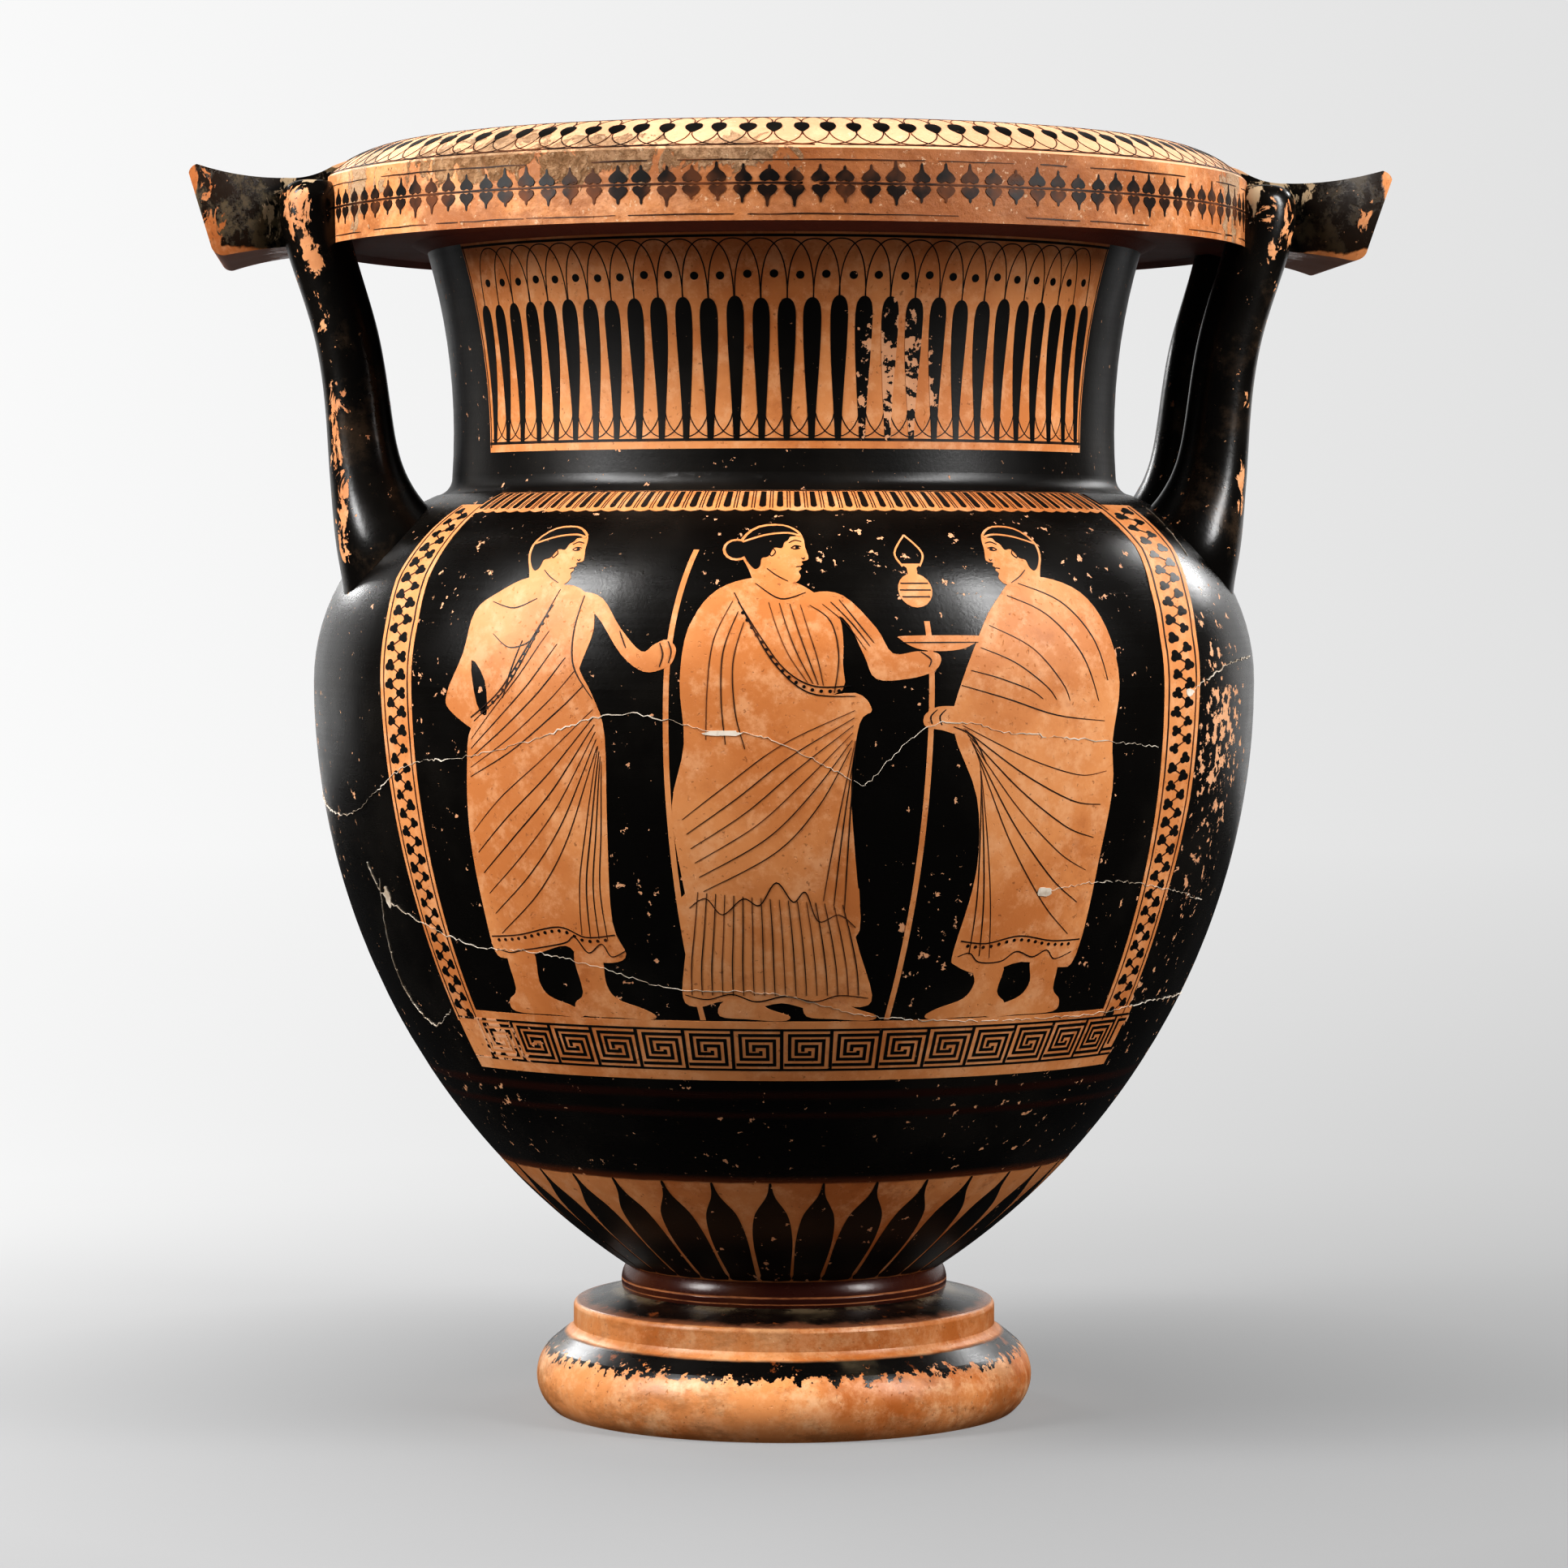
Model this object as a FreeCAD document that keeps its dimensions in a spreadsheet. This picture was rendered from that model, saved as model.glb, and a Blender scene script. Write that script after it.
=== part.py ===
import FreeCAD, Part
import math
import os
from types import SimpleNamespace

import Sketcher

# A column krater: a wide mixing bowl on a stepped foot, thrown in sections that are luted together.
# The origin is the centre of the foot's resting plane. +Z is up, the handles lie along X,
# and the main picture faces -Y. Lengths are millimetres.

# The driving sizes, piece by piece. Radii are measured from the vase's axis, and a "rise" from the
# seat or level that the piece stands on.
SIZES = {
    # Foot: a hollow disc with a rounded toe, a cove and an upper step.
    "foot_height": 38.0,
    "toe_rest_radius": 74.0,
    "toe_round": 13.5,
    "toe_top_radius": 75.1,
    "toe_top_rise": 20.2,
    "groove_radius": 70.2,
    "groove_rise": 24.2,
    "cove_round": 5.0,
    "step_radius": 67.3,
    "step_foot_rise": 26.8,
    "step_face_rise": 32.6,
    "step_edge_round": 2.0,
    "step_top_radius": 65.4,
    "step_top_rise": 34.4,
    "hollow_radius": 66.0,
    "hollow_rise": 26.0,
    "hollow_top_radius": 24.0,
    # Ring of clay round the joint of foot and bowl.
    "ring_height": 8.0,
    "ring_radius": 51.6,
    "ring_round": 9.0,
    "stub_radius": 44.0,
    # Bowl, thrown in a lower and an upper section that meet at the widest point.
    "bowl_base_radius": 50.3,
    "lower_height": 186.0,
    "belly_radius": 149.3,
    "bowl_wall": 8.0,
    "floor_thickness": 9.1,
    "floor_curve_rise": 32.9,
    "shoulder_height": 58.6,
    "shoulder_lip": 4.2,
    # Neck: a concave collar.
    "neck_height": 76.4,
    "neck_base_radius": 105.4,
    "neck_root_spread": 5.1,
    "neck_root_rise": 5.6,
    "neck_root_round": 5.8,
    "neck_flare": 7.6,
    "neck_curve_round": 200.0,
    "neck_wall": 8.0,
    # Mouth: an overhanging ring with an upright frieze and a sloping crown.
    "rim_radius": 146.8,
    "rim_underside_rise": 2.5,
    "frieze_foot_rise": 0.8,
    "frieze_height": 21.0,
    "frieze_lean": 0.3,
    "crown_slope_round": 36.0,
    "crown_rise": 11.2,
    "crown_round": 90.0,
    "lip_overhang": 1.5,
    "lip_drop": 7.0,
    "lip_round": 9.5,
    # Columns: two for each handle, with a spread root and a rounded head.
    "column_spacing": 61.0,
    "column_radius": 10.3,
    "column_root_inset": 28.7,
    "column_root_rise": 24.0,
    "column_head_offset": 1.7,
    "column_head_rise": 20.6,
    "column_head_round": 7.0,
    # Handle plates: waisted slabs that carry the mouth out over the columns.
    "plate_overhang": 39.8,
    "plate_flare": 23.0,
    "plate_waist_inset": 2.5,
    "plate_waist_out": 11.2,
    "plate_waist_round": 62.0,
    "plate_edge_lean": 8.0,
    "plate_edge_inset": 3.2,
    "plate_edge_round": 3.6,
    "plate_underside_drop": 4.0,
    "plate_underside_round": 120.0,
    "plate_corner_rise": 2.3,
    "plate_dip_out": 10.0,
    "plate_dip_drop": 0.3,
    "plate_top_round": 95.0,
    "plate_shoe_round": 24.0,
    "plate_tongue_round": 40.0,
    "plate_core_cover": 2.4,
    # Cutting forms run past what they cut by this much.
    "overrun": 10.0,
}

doc = FreeCAD.newDocument("column_krater")
sheet = doc.addObject("Spreadsheet::Sheet", "Sizes")
for row, (alias, number) in enumerate(SIZES.items(), start=1):
    sheet.set(f"A{row}", alias)
    sheet.set(f"B{row}", str(number))
    sheet.setAlias(f"B{row}", alias)
doc.recompute()


class Length:
    """A length with the formula that ties it to the sheet."""

    def __init__(self, number, formula):
        self.number = number
        self.formula = formula

    def __add__(self, other):
        return Length(self.number + other.number, f"({self.formula} + {other.formula})")

    def __sub__(self, other):
        return Length(self.number - other.number, f"({self.formula} - {other.formula})")

    def __mul__(self, share):
        return Length(self.number * share, f"({self.formula} * {share})")

    def __neg__(self):
        return Length(-self.number, f"(0 - {self.formula})")


size = SimpleNamespace(**{alias: Length(float(sheet.get(alias)), f"Sizes.{alias}") for alias in SIZES})
ZERO = Length(0.0, "0")

# Radii of the neck and the mouth.
rim_inset_share = 0.15  # of the mouth's overhang, at each side of the recess under it
neck_bore = size.neck_base_radius - size.neck_wall
neck_seat_radius = size.neck_base_radius + size.neck_root_spread
neck_top_radius = size.neck_base_radius + size.neck_flare
mouth_bore = neck_top_radius - size.neck_wall
lip_radius = mouth_bore - size.lip_overhang
rim_inset = (size.rim_radius - neck_top_radius) * rim_inset_share
rim_breadth = size.rim_radius - lip_radius

# Levels of the luted joints, from the floor up.
foot_top = size.foot_height
ring_top = foot_top + size.ring_height
belly_level = ring_top + size.lower_height
neck_seat = belly_level + size.shoulder_height
rim_seat = neck_seat + size.neck_height
rim_underside = rim_seat + size.rim_underside_rise
frieze_foot = rim_seat + size.frieze_foot_rise
frieze_top = frieze_foot + size.frieze_height


# Sketching: an outline is a list of (point, edge), where the edge leads to the next point.
# An edge is None for a straight one, or an arc of under a half circle.
def rounded(radius, turn):
    """An arc of a given radius that turns left (1) or right (-1) on its way."""
    return ("radius", radius, turn)


UPRIGHT_START = ("level", 0, None)  # an arc whose centre lies level with its start
UPRIGHT_END = ("level", 1, None)  # an arc whose centre lies level with its end
LEVEL_END = ("plumb", 1, None)  # an arc whose centre lies plumb with its end


def arc_centre(start, end, edge):
    """Where the centre of an edge's arc lies."""
    kind, which, turn = edge
    if kind == "radius":
        dx, dy = end.x - start.x, end.y - start.y
        chord = math.hypot(dx, dy)
        reach = math.sqrt(which.number**2 - chord**2 / 4)
        middle = (start + end) / 2
        return middle + FreeCAD.Vector(-dy, dx) * (turn * reach / chord)
    near, far = (end, start) if which else (start, end)
    if kind == "level":
        x = (near.x**2 - far.x**2 - (far.y - near.y) ** 2) / (2 * (near.x - far.x))
        return FreeCAD.Vector(x, near.y)
    y = (near.y**2 - far.y**2 - (far.x - near.x) ** 2) / (2 * (near.y - far.y))
    return FreeCAD.Vector(near.x, y)


def origin_plane(body, role):
    return next(feature for feature in body.Origin.OriginFeatures if feature.Role == role)


def new_sketch(body, name, plane):
    """A sketch on one of the body's own origin planes."""
    sketch = body.newObject("Sketcher::SketchObject", name)
    sketch.AttachmentSupport = [(origin_plane(body, plane), "")]
    sketch.MapMode = "FlatFace"
    sketch.Visibility = False
    return sketch


def bind(sketch, kind, geometry, length):
    """Adds a constraint and ties its value to the length's formula."""
    index = sketch.addConstraint(Sketcher.Constraint(kind, *geometry, length.number))
    sketch.setExpression(f"Constraints[{index}]", length.formula)


def place(sketch, edge, end, point):
    """Ties one end of an edge, or its centre, to a point."""
    for length, kind, axis in ((point[0], "DistanceX", -2), (point[1], "DistanceY", -1)):
        if length is ZERO:
            sketch.addConstraint(Sketcher.Constraint("PointOnObject", edge, end, axis))
        else:
            bind(sketch, kind, (-1, 1, edge, end), length)


def draw_edge(sketch, start, end, edge):
    """Draws one edge and returns its number, its start and its end."""
    if edge is None:
        number = sketch.addGeometry(Part.LineSegment(start, end))
        return number, (number, 1), (number, 2)
    centre = arc_centre(start, end, edge)
    leftward = (start - centre).cross(end - centre).z > 0
    first, last = (start, end) if leftward else (end, start)
    angles = [math.atan2(p.y - centre.y, p.x - centre.x) for p in (first, last)]
    if angles[1] < angles[0]:
        angles[1] += math.tau
    circle = Part.Circle(centre, FreeCAD.Vector(0, 0, 1), (start - centre).Length)
    number = sketch.addGeometry(Part.ArcOfCircle(circle, *angles))
    sides = ((number, 1), (number, 2)) if leftward else ((number, 2), (number, 1))
    return number, *sides


def draw_outline(sketch, outline):
    """Draws a closed outline and ties every point and arc of it to the sheet."""
    corners = [FreeCAD.Vector(point[0].number, point[1].number) for point, _ in outline]
    following = corners[1:] + corners[:1]
    drawn = [
        draw_edge(sketch, corner, after, edge)
        for corner, after, (_, edge) in zip(corners, following, outline)
    ]
    for (_, _, end), (_, start, _) in zip(drawn, drawn[1:] + drawn[:1]):
        sketch.addConstraint(Sketcher.Constraint("Coincident", *end, *start))
    for (number, start, end), (point, edge) in zip(drawn, outline):
        place(sketch, *start, point)
        if edge is None:
            continue
        kind, which, _ = edge
        if kind == "radius":
            bind(sketch, "Radius", (number,), which)
        else:
            line_up = "Horizontal" if kind == "level" else "Vertical"
            anchor = end if which else start
            sketch.addConstraint(Sketcher.Constraint(line_up, number, 3, *anchor))


def thrown(name, outline):
    """A piece made on the wheel: its half section turned about the vase's axis."""
    body = doc.addObject("PartDesign::Body", name)
    sketch = new_sketch(body, f"{name}_section", "XZ_Plane")
    draw_outline(sketch, outline)
    turned = body.newObject("PartDesign::Revolution", f"{name}_turned")
    turned.Profile = sketch
    turned.ReferenceAxis = (sketch, ["V_Axis"])
    turned.Angle = 360
    return body


def trimmed(name, base, tools):
    """The base less every tool's volume, so that it seats on them face to face."""
    for index, tool in enumerate(tools, start=1):
        cut = doc.addObject("Part::Cut", name if index == len(tools) else f"{name}_trim_{index}")
        cut.Base = base
        cut.Tool = tool
        base = cut
    return base


# Foot
def make_foot():
    return thrown(
        "foot",
        [
            ((size.hollow_radius, ZERO), None),
            ((size.toe_rest_radius, ZERO), rounded(size.toe_round, 1)),
            ((size.toe_top_radius, size.toe_top_rise), None),
            ((size.groove_radius, size.groove_rise), rounded(size.cove_round, -1)),
            ((size.step_radius, size.step_foot_rise), None),
            ((size.step_radius, size.step_face_rise), rounded(size.step_edge_round, 1)),
            ((size.step_top_radius, size.step_top_rise), None),
            ((size.ring_radius, foot_top), None),
            ((ZERO, foot_top), None),
            ((ZERO, size.hollow_rise), None),
            ((size.hollow_top_radius, size.hollow_rise), None),
        ],
    )


# Ring of clay that covers the joint of foot and bowl
def make_foot_fillet():
    return thrown(
        "foot_fillet",
        [
            ((size.stub_radius, foot_top), None),
            ((size.ring_radius, foot_top), rounded(size.ring_round, 1)),
            ((size.bowl_base_radius, ring_top), None),
            ((size.stub_radius, ring_top), None),
        ],
    )


# Lower bowl, with the stub that stands on the foot inside the ring
floor_curve_share = 0.313  # how far out the bowl's rounded floor reaches, from its base to its wall


def make_lower_body():
    floor_top = foot_top + size.floor_thickness
    wall_inside = size.belly_radius - size.bowl_wall
    floor_curve_radius = size.bowl_base_radius + (wall_inside - size.bowl_base_radius) * floor_curve_share
    return thrown(
        "lower_body",
        [
            ((ZERO, foot_top), None),
            ((size.stub_radius, foot_top), None),
            ((size.stub_radius, ring_top), None),
            ((size.bowl_base_radius, ring_top), UPRIGHT_END),
            ((size.belly_radius, belly_level), None),
            ((wall_inside, belly_level), UPRIGHT_START),
            ((floor_curve_radius, floor_top + size.floor_curve_rise), LEVEL_END),
            ((ZERO, floor_top), None),
        ],
    )


# Upper bowl and shoulder
def shoulder_outside():
    """The outside of the upper bowl, from the widest point up to the neck's seat."""
    return [
        ((size.belly_radius, belly_level), UPRIGHT_START),
        ((neck_seat_radius, neck_seat), None),
    ]


def make_upper_body():
    inside = [
        ((neck_bore, neck_seat), None),
        ((neck_bore, neck_seat - size.shoulder_lip), UPRIGHT_END),
        ((size.belly_radius - size.bowl_wall, belly_level), None),
    ]
    return thrown("upper_body", shoulder_outside() + inside)


def make_shoulder_form():
    """The shoulder filled in to the axis, which the columns' roots are trimmed to."""
    axis_side = [((ZERO, neck_seat), None), ((ZERO, belly_level), None)]
    return thrown("shoulder_form", shoulder_outside() + axis_side)


# Neck
def make_neck():
    neck_root = neck_seat + size.neck_root_rise
    inside_round = size.neck_curve_round + size.neck_wall
    return thrown(
        "neck",
        [
            ((neck_bore, neck_seat), None),
            ((neck_seat_radius, neck_seat), rounded(size.neck_root_round, -1)),
            ((size.neck_base_radius, neck_root), rounded(size.neck_curve_round, -1)),
            ((neck_top_radius, rim_seat), None),
            ((mouth_bore, rim_seat), rounded(inside_round, 1)),
        ],
    )


# Mouth
crown_slope_share = 0.57  # where the crown's slope begins, from the lip to the frieze
crown_slope_rise_share = 0.91  # of the crown's rise
crown_top_share = 0.2  # where the crown is highest, from the lip to the frieze


def make_rim():
    slope_level = frieze_top + size.crown_rise * crown_slope_rise_share
    crown_top = frieze_top + size.crown_rise
    return thrown(
        "rim",
        [
            ((mouth_bore, rim_seat), None),
            ((neck_top_radius, rim_seat), None),
            ((neck_top_radius + rim_inset, rim_underside), None),
            ((size.rim_radius - rim_inset, rim_underside), None),
            ((size.rim_radius, frieze_foot), None),
            ((size.rim_radius - size.frieze_lean, frieze_top), rounded(size.crown_slope_round, 1)),
            ((lip_radius + rim_breadth * crown_slope_share, slope_level), rounded(size.crown_round, 1)),
            ((lip_radius + rim_breadth * crown_top_share, crown_top), rounded(size.lip_round, 1)),
            ((lip_radius, crown_top - size.lip_drop), None),
        ],
    )


# Columns. Each is lofted through level circles that spread at the root and lean outwards.
# A share of 0 is the lowest circle, hidden in the shoulder, and 1 the head beside the mouth.
column_level_shares = (0, 0.115, 0.195, 0.265, 0.34, 0.46, 0.68, 0.85, 0.935, 1)
column_lean_shares = (0, 0.035, 0.145, 0.30, 0.41, 0.49, 0.64, 0.87, 0.97, 1)
column_girth_shares = (1.88, 1.88, 1.71, 1.36, 1.13, 1, 0.98, 1.01, 1.02, 1)


def column_circles():
    """Each circle's reach from the vase's axis, its level and its radius."""
    root_reach = size.belly_radius - size.column_root_inset
    root_level = belly_level + size.column_root_rise
    lean = size.rim_radius + size.column_head_offset - root_reach
    rise = rim_seat + size.column_head_rise - size.column_head_round - root_level
    for level, out, girth in zip(column_level_shares, column_lean_shares, column_girth_shares):
        yield root_reach + lean * out, root_level + rise * level, size.column_radius * girth


def add_column_head(body, reach, level, radius):
    """Rounds the top of a column over with a flat-topped dome."""
    sketch = new_sketch(body, f"{body.Label}_head_section", "XZ_Plane")
    top = level + size.column_head_round
    corner = (reach + radius - size.column_head_round, top)
    draw_outline(
        sketch,
        [
            ((reach, level), None),
            ((reach + radius, level), rounded(size.column_head_round, 1)),
            (corner, None),
            ((reach, top), None),
        ],
    )
    foot_point = FreeCAD.Vector(reach.number, level.number)
    top_point = FreeCAD.Vector(reach.number, top.number)
    axis = sketch.addGeometry(Part.LineSegment(foot_point, top_point), True)
    place(sketch, axis, 1, (reach, level))
    place(sketch, axis, 2, (reach, top))
    head = body.newObject("PartDesign::Revolution", f"{body.Label}_head")
    head.Profile = sketch
    head.ReferenceAxis = (sketch, ["Axis0"])
    head.Angle = 360


def make_column(name, form, rim, turn, side):
    """One column of a handle, in front of (-1) or behind (1) the handle's middle."""
    body = doc.addObject("PartDesign::Body", f"{name}_pulled")
    sections = []
    for number, (reach, level, radius) in enumerate(column_circles()):
        sketch = new_sketch(body, f"{name}_circle_{number}", "XY_Plane")
        sketch.setExpression("AttachmentOffset.Base.z", level.formula)
        circle = Part.Circle(FreeCAD.Vector(reach.number, 0), FreeCAD.Vector(0, 0, 1), radius.number)
        sketch.addGeometry(circle)
        place(sketch, 0, 3, (reach, ZERO))
        bind(sketch, "Radius", (0,), radius)
        sections.append(sketch)
    loft = body.newObject("PartDesign::AdditiveLoft", f"{name}_loft")
    loft.Profile = sections[0]
    loft.Sections = sections[1:]
    add_column_head(body, reach, level, radius)
    body.Placement.Rotation = FreeCAD.Rotation(FreeCAD.Vector(0, 0, 1), turn)
    half_spacing = size.column_spacing * 0.5
    body.setExpression("Placement.Base.y", (half_spacing if side > 0 else -half_spacing).formula)
    return trimmed(name, body, [form, rim])


# Handle plates
plate_bevel_share = 0.11  # how far up the leaning outer face its rounded edges reach
plate_shoe_share = 0.1  # how far in over the mouth the top's sweep ends, from the frieze to the lip
plate_tongue_share = 0.48  # how far in the plate is let into the mouth
plate_shoe_rise_share = 0.3  # of the crown's rise, where the plate's top sweeps up onto the mouth
plate_tongue_rise_share = 0.6  # of the crown's rise, where the plate's top ends inside the mouth


def make_plate(name, rim, columns, turn):
    """A slab that grows out of the mouth, narrows to a waist between the columns and flares."""
    body = doc.addObject("PartDesign::Body", f"{name}_slab")
    reach = size.rim_radius + size.plate_overhang
    foot_reach = reach - size.plate_edge_lean
    waist_reach = size.rim_radius + size.plate_waist_out
    shoe_reach = size.rim_radius - rim_breadth * plate_shoe_share
    tongue_reach = size.rim_radius - rim_breadth * plate_tongue_share
    underside = frieze_foot - size.plate_underside_drop
    corner_level = frieze_top + size.plate_corner_rise
    dip = (size.rim_radius + size.plate_dip_out, frieze_top - size.plate_dip_drop)
    shoe = (shoe_reach, frieze_top + size.crown_rise * plate_shoe_rise_share)
    tongue = (tongue_reach, frieze_top + size.crown_rise * plate_tongue_rise_share)
    core = (size.rim_radius - rim_inset, rim_underside + size.plate_core_cover)
    bevel_out = size.plate_edge_lean * plate_bevel_share
    bevel_up = (corner_level - underside) * plate_bevel_share
    profile = new_sketch(body, f"{name}_profile", "XZ_Plane")
    draw_outline(
        profile,
        [
            (core, None),
            ((size.rim_radius, frieze_foot), rounded(size.plate_underside_round, -1)),
            ((foot_reach - size.plate_edge_inset, underside), rounded(size.plate_edge_round, 1)),
            ((foot_reach + bevel_out, underside + bevel_up), None),
            ((reach - bevel_out, corner_level - bevel_up), rounded(size.plate_edge_round, 1)),
            ((reach - size.plate_edge_inset, corner_level), rounded(size.plate_top_round, -1)),
            (dip, rounded(size.plate_shoe_round, -1)),
            (shoe, rounded(size.plate_tongue_round, 1)),
            (tongue, None),
            ((tongue_reach, frieze_top), None),
        ],
    )
    half_waist = size.column_spacing * 0.5 - size.plate_waist_inset
    half_width = half_waist + size.plate_flare
    slab = body.newObject("PartDesign::Pad", f"{name}_pad")
    slab.Profile = profile
    slab.SideType = "Symmetric"
    slab.setExpression("Length", (half_width * 2).formula)
    plan = new_sketch(body, f"{name}_plan", "XY_Plane")
    outside = half_width + size.overrun
    inner = tongue_reach - size.overrun
    for side in (1, -1):
        outline = [
            (inner, half_waist, None),
            (waist_reach, half_waist, rounded(size.plate_waist_round, side)),
            (reach, half_width, None),
            (reach + size.overrun, outside, None),
            (inner, outside, None),
        ]
        draw_outline(plan, [((x, y if side > 0 else -y), edge) for x, y, edge in outline])
    waist = body.newObject("PartDesign::Pocket", f"{name}_waist")
    waist.Profile = plan
    waist.SideType = "Symmetric"
    waist.Type = "ThroughAll"
    body.Placement.Rotation = FreeCAD.Rotation(FreeCAD.Vector(0, 0, 1), turn)
    return trimmed(name, body, [rim, *columns])


# The vase
foot = make_foot()
foot_fillet = make_foot_fillet()
lower_body = make_lower_body()
upper_body = make_upper_body()
neck = make_neck()
rim = make_rim()
shoulder_form = make_shoulder_form()
pieces = [foot, foot_fillet, lower_body, upper_body, neck, rim]
for hand, turn in (("right", 0), ("left", 180)):
    columns = [
        make_column(f"{hand}_{place_name}_column", shoulder_form, rim, turn, side)
        for place_name, side in (("front", -1), ("back", 1))
    ]
    pieces += [*columns, make_plate(f"{hand}_handle_plate", rim, columns, turn)]
doc.recompute()

for thing in doc.Objects:
    if "Invalid" in thing.State or "Error" in thing.State:
        raise RuntimeError(f"{thing.Label} failed: {thing.State}")
for piece in pieces:
    if piece.Shape.isNull() or not piece.Shape.isValid():
        raise RuntimeError(f"{piece.Label} has no valid shape")
    if len(piece.Shape.Solids) != 1:
        raise RuntimeError(f"{piece.Label} has {len(piece.Shape.Solids)} solids")

os.makedirs("parts", exist_ok=True)
for piece in pieces:
    piece.Shape.exportStep(f"parts/{piece.Label}.step")
    box = piece.Shape.BoundBox
    print(f"{piece.Label}: {box.XLength:.1f} x {box.YLength:.1f} x {box.ZLength:.1f} mm")
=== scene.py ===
import math
import random

import bpy
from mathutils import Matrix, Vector
from mathutils.geometry import delaunay_2d_cdt


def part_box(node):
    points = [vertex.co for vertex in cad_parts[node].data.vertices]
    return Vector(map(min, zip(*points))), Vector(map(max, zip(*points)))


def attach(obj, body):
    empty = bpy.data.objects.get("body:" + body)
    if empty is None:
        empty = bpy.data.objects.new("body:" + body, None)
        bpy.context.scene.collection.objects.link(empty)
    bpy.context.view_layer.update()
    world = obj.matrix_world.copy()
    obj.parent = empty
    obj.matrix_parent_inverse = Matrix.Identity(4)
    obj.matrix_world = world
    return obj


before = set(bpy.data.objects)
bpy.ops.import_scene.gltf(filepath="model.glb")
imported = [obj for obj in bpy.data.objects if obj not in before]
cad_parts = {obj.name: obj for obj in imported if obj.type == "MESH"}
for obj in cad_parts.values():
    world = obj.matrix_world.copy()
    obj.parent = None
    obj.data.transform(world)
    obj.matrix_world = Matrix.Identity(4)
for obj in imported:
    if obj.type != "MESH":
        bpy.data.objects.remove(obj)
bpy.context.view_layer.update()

# A red-figure column krater. The clay parts are the frame's own, dressed here in clay and gloss,
# and every painted line, leaf and figure is a thin layer of slip laid on them.
# Lengths are millimetres until a point goes into a mesh.
mm = 0.001
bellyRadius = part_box("upper_body")[1].x / mm
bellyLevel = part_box("upper_body")[0].z / mm
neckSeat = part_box("neck")[0].z / mm
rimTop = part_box("rim")[1].z / mm
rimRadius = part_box("rim")[1].x / mm
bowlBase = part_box("foot_fillet")[1].z / mm

print("frame loaded, belly radius", round(bellyRadius, 1))


# Objects and node trees
def addObject(name, data):
    made = bpy.data.objects.new(name, data)
    bpy.context.scene.collection.objects.link(made)
    return made


def addMesh(name, points, faces):
    mesh = bpy.data.meshes.new(name)
    mesh.from_pydata(points, [], faces)
    return addObject(name, mesh)


def wayTo(azimuth, elevation=0.0):
    # the way out from the vase's axis, by degrees round it from its front towards +X
    turn, rise = math.radians(azimuth), math.radians(elevation)
    return Vector((math.sin(turn) * math.cos(rise), -math.cos(turn) * math.cos(rise), math.sin(rise)))


class Nodes:
    # a small helper: every call adds a node and hands back its output
    def __init__(self, name):
        self.material = bpy.data.materials.new(name)
        self.material.use_nodes = True
        self.tree = self.material.node_tree
        self.shader = self.tree.nodes["Principled BSDF"]

    def add(self, kind, settings=None, inputs=None, output=0):
        node = self.tree.nodes.new(kind)
        for name, value in (settings or {}).items():
            setattr(node, name, value)
        for name, value in (inputs or {}).items():
            self.feed(node.inputs[name], value)
        return node.outputs[output]

    def feed(self, socket, value):
        if isinstance(value, bpy.types.NodeSocket):
            self.tree.links.new(value, socket)
        elif isinstance(value, tuple) and len(value) == 3 and socket.type == "RGBA":
            socket.default_value = (*value, 1)
        else:
            socket.default_value = value

    def math(self, operation, first, second=0.0, third=0.0):
        return self.add("ShaderNodeMath", {"operation": operation}, {0: first, 1: second, 2: third})

    def times(self, first, second):
        return self.math("MULTIPLY", first, second)

    def blend(self, value, slope, start):
        return self.math("MULTIPLY_ADD", value, slope, start)

    def inverse(self, value):
        return self.math("SUBTRACT", 1.0, value)

    def most(self, first, *others):
        for other in others:
            first = self.math("MAXIMUM", first, other)
        return first

    def place(self):
        return self.add("ShaderNodeTexCoord", output="Object")

    def part(self, vector, axis):
        return self.add("ShaderNodeSeparateXYZ", {}, {0: vector}, output=axis)

    def length(self, vector):
        return self.add("ShaderNodeVectorMath", {"operation": "LENGTH"}, {0: vector}, output="Value")

    def noise(self, scale, detail=3.0, roughness=0.55, offset=0.0, stretch=None, distortion=0.0):
        where = self.place()
        if stretch or offset:
            inputs = {"Vector": where, "Scale": stretch or (1, 1, 1), "Location": (offset,) * 3}
            where = self.add("ShaderNodeMapping", {}, inputs)
        inputs = {"Vector": where, "Scale": scale, "Detail": detail, "Roughness": roughness}
        return self.add("ShaderNodeTexNoise", {}, {**inputs, "Distortion": distortion})

    def step(self, value, low, high, first=0.0, last=1.0, kind="SMOOTHSTEP"):
        # goes from first to last as the value goes from low to high
        inputs = {0: value, 1: low, 2: high, 3: first, 4: last}
        return self.add("ShaderNodeMapRange", {"interpolation_type": kind}, inputs)

    def patches(self, scale, detail, roughness, offset, low, high, stretch=None):
        # where a noise passes a level. Looks give these numbers in this order
        return self.step(self.noise(scale, detail, roughness, offset, stretch), low, high)

    def mix(self, share, first, second, strength=None):
        if strength is not None:
            share = self.times(share, strength)
        node = self.tree.nodes.new("ShaderNodeMix")
        node.data_type = "RGBA"
        for name, value in (("Factor", share), ("A", first), ("B", second)):
            self.feed([s for s in node.inputs if s.name == name and s.enabled][0], value)
        return [s for s in node.outputs if s.enabled][0]

    def bump(self, height, depth, strength=1.0, normal=None):
        inputs = {"Height": height, "Distance": depth, "Strength": strength}
        if normal is not None:
            inputs["Normal"] = normal
        return self.add("ShaderNodeBump", {}, inputs)


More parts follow.
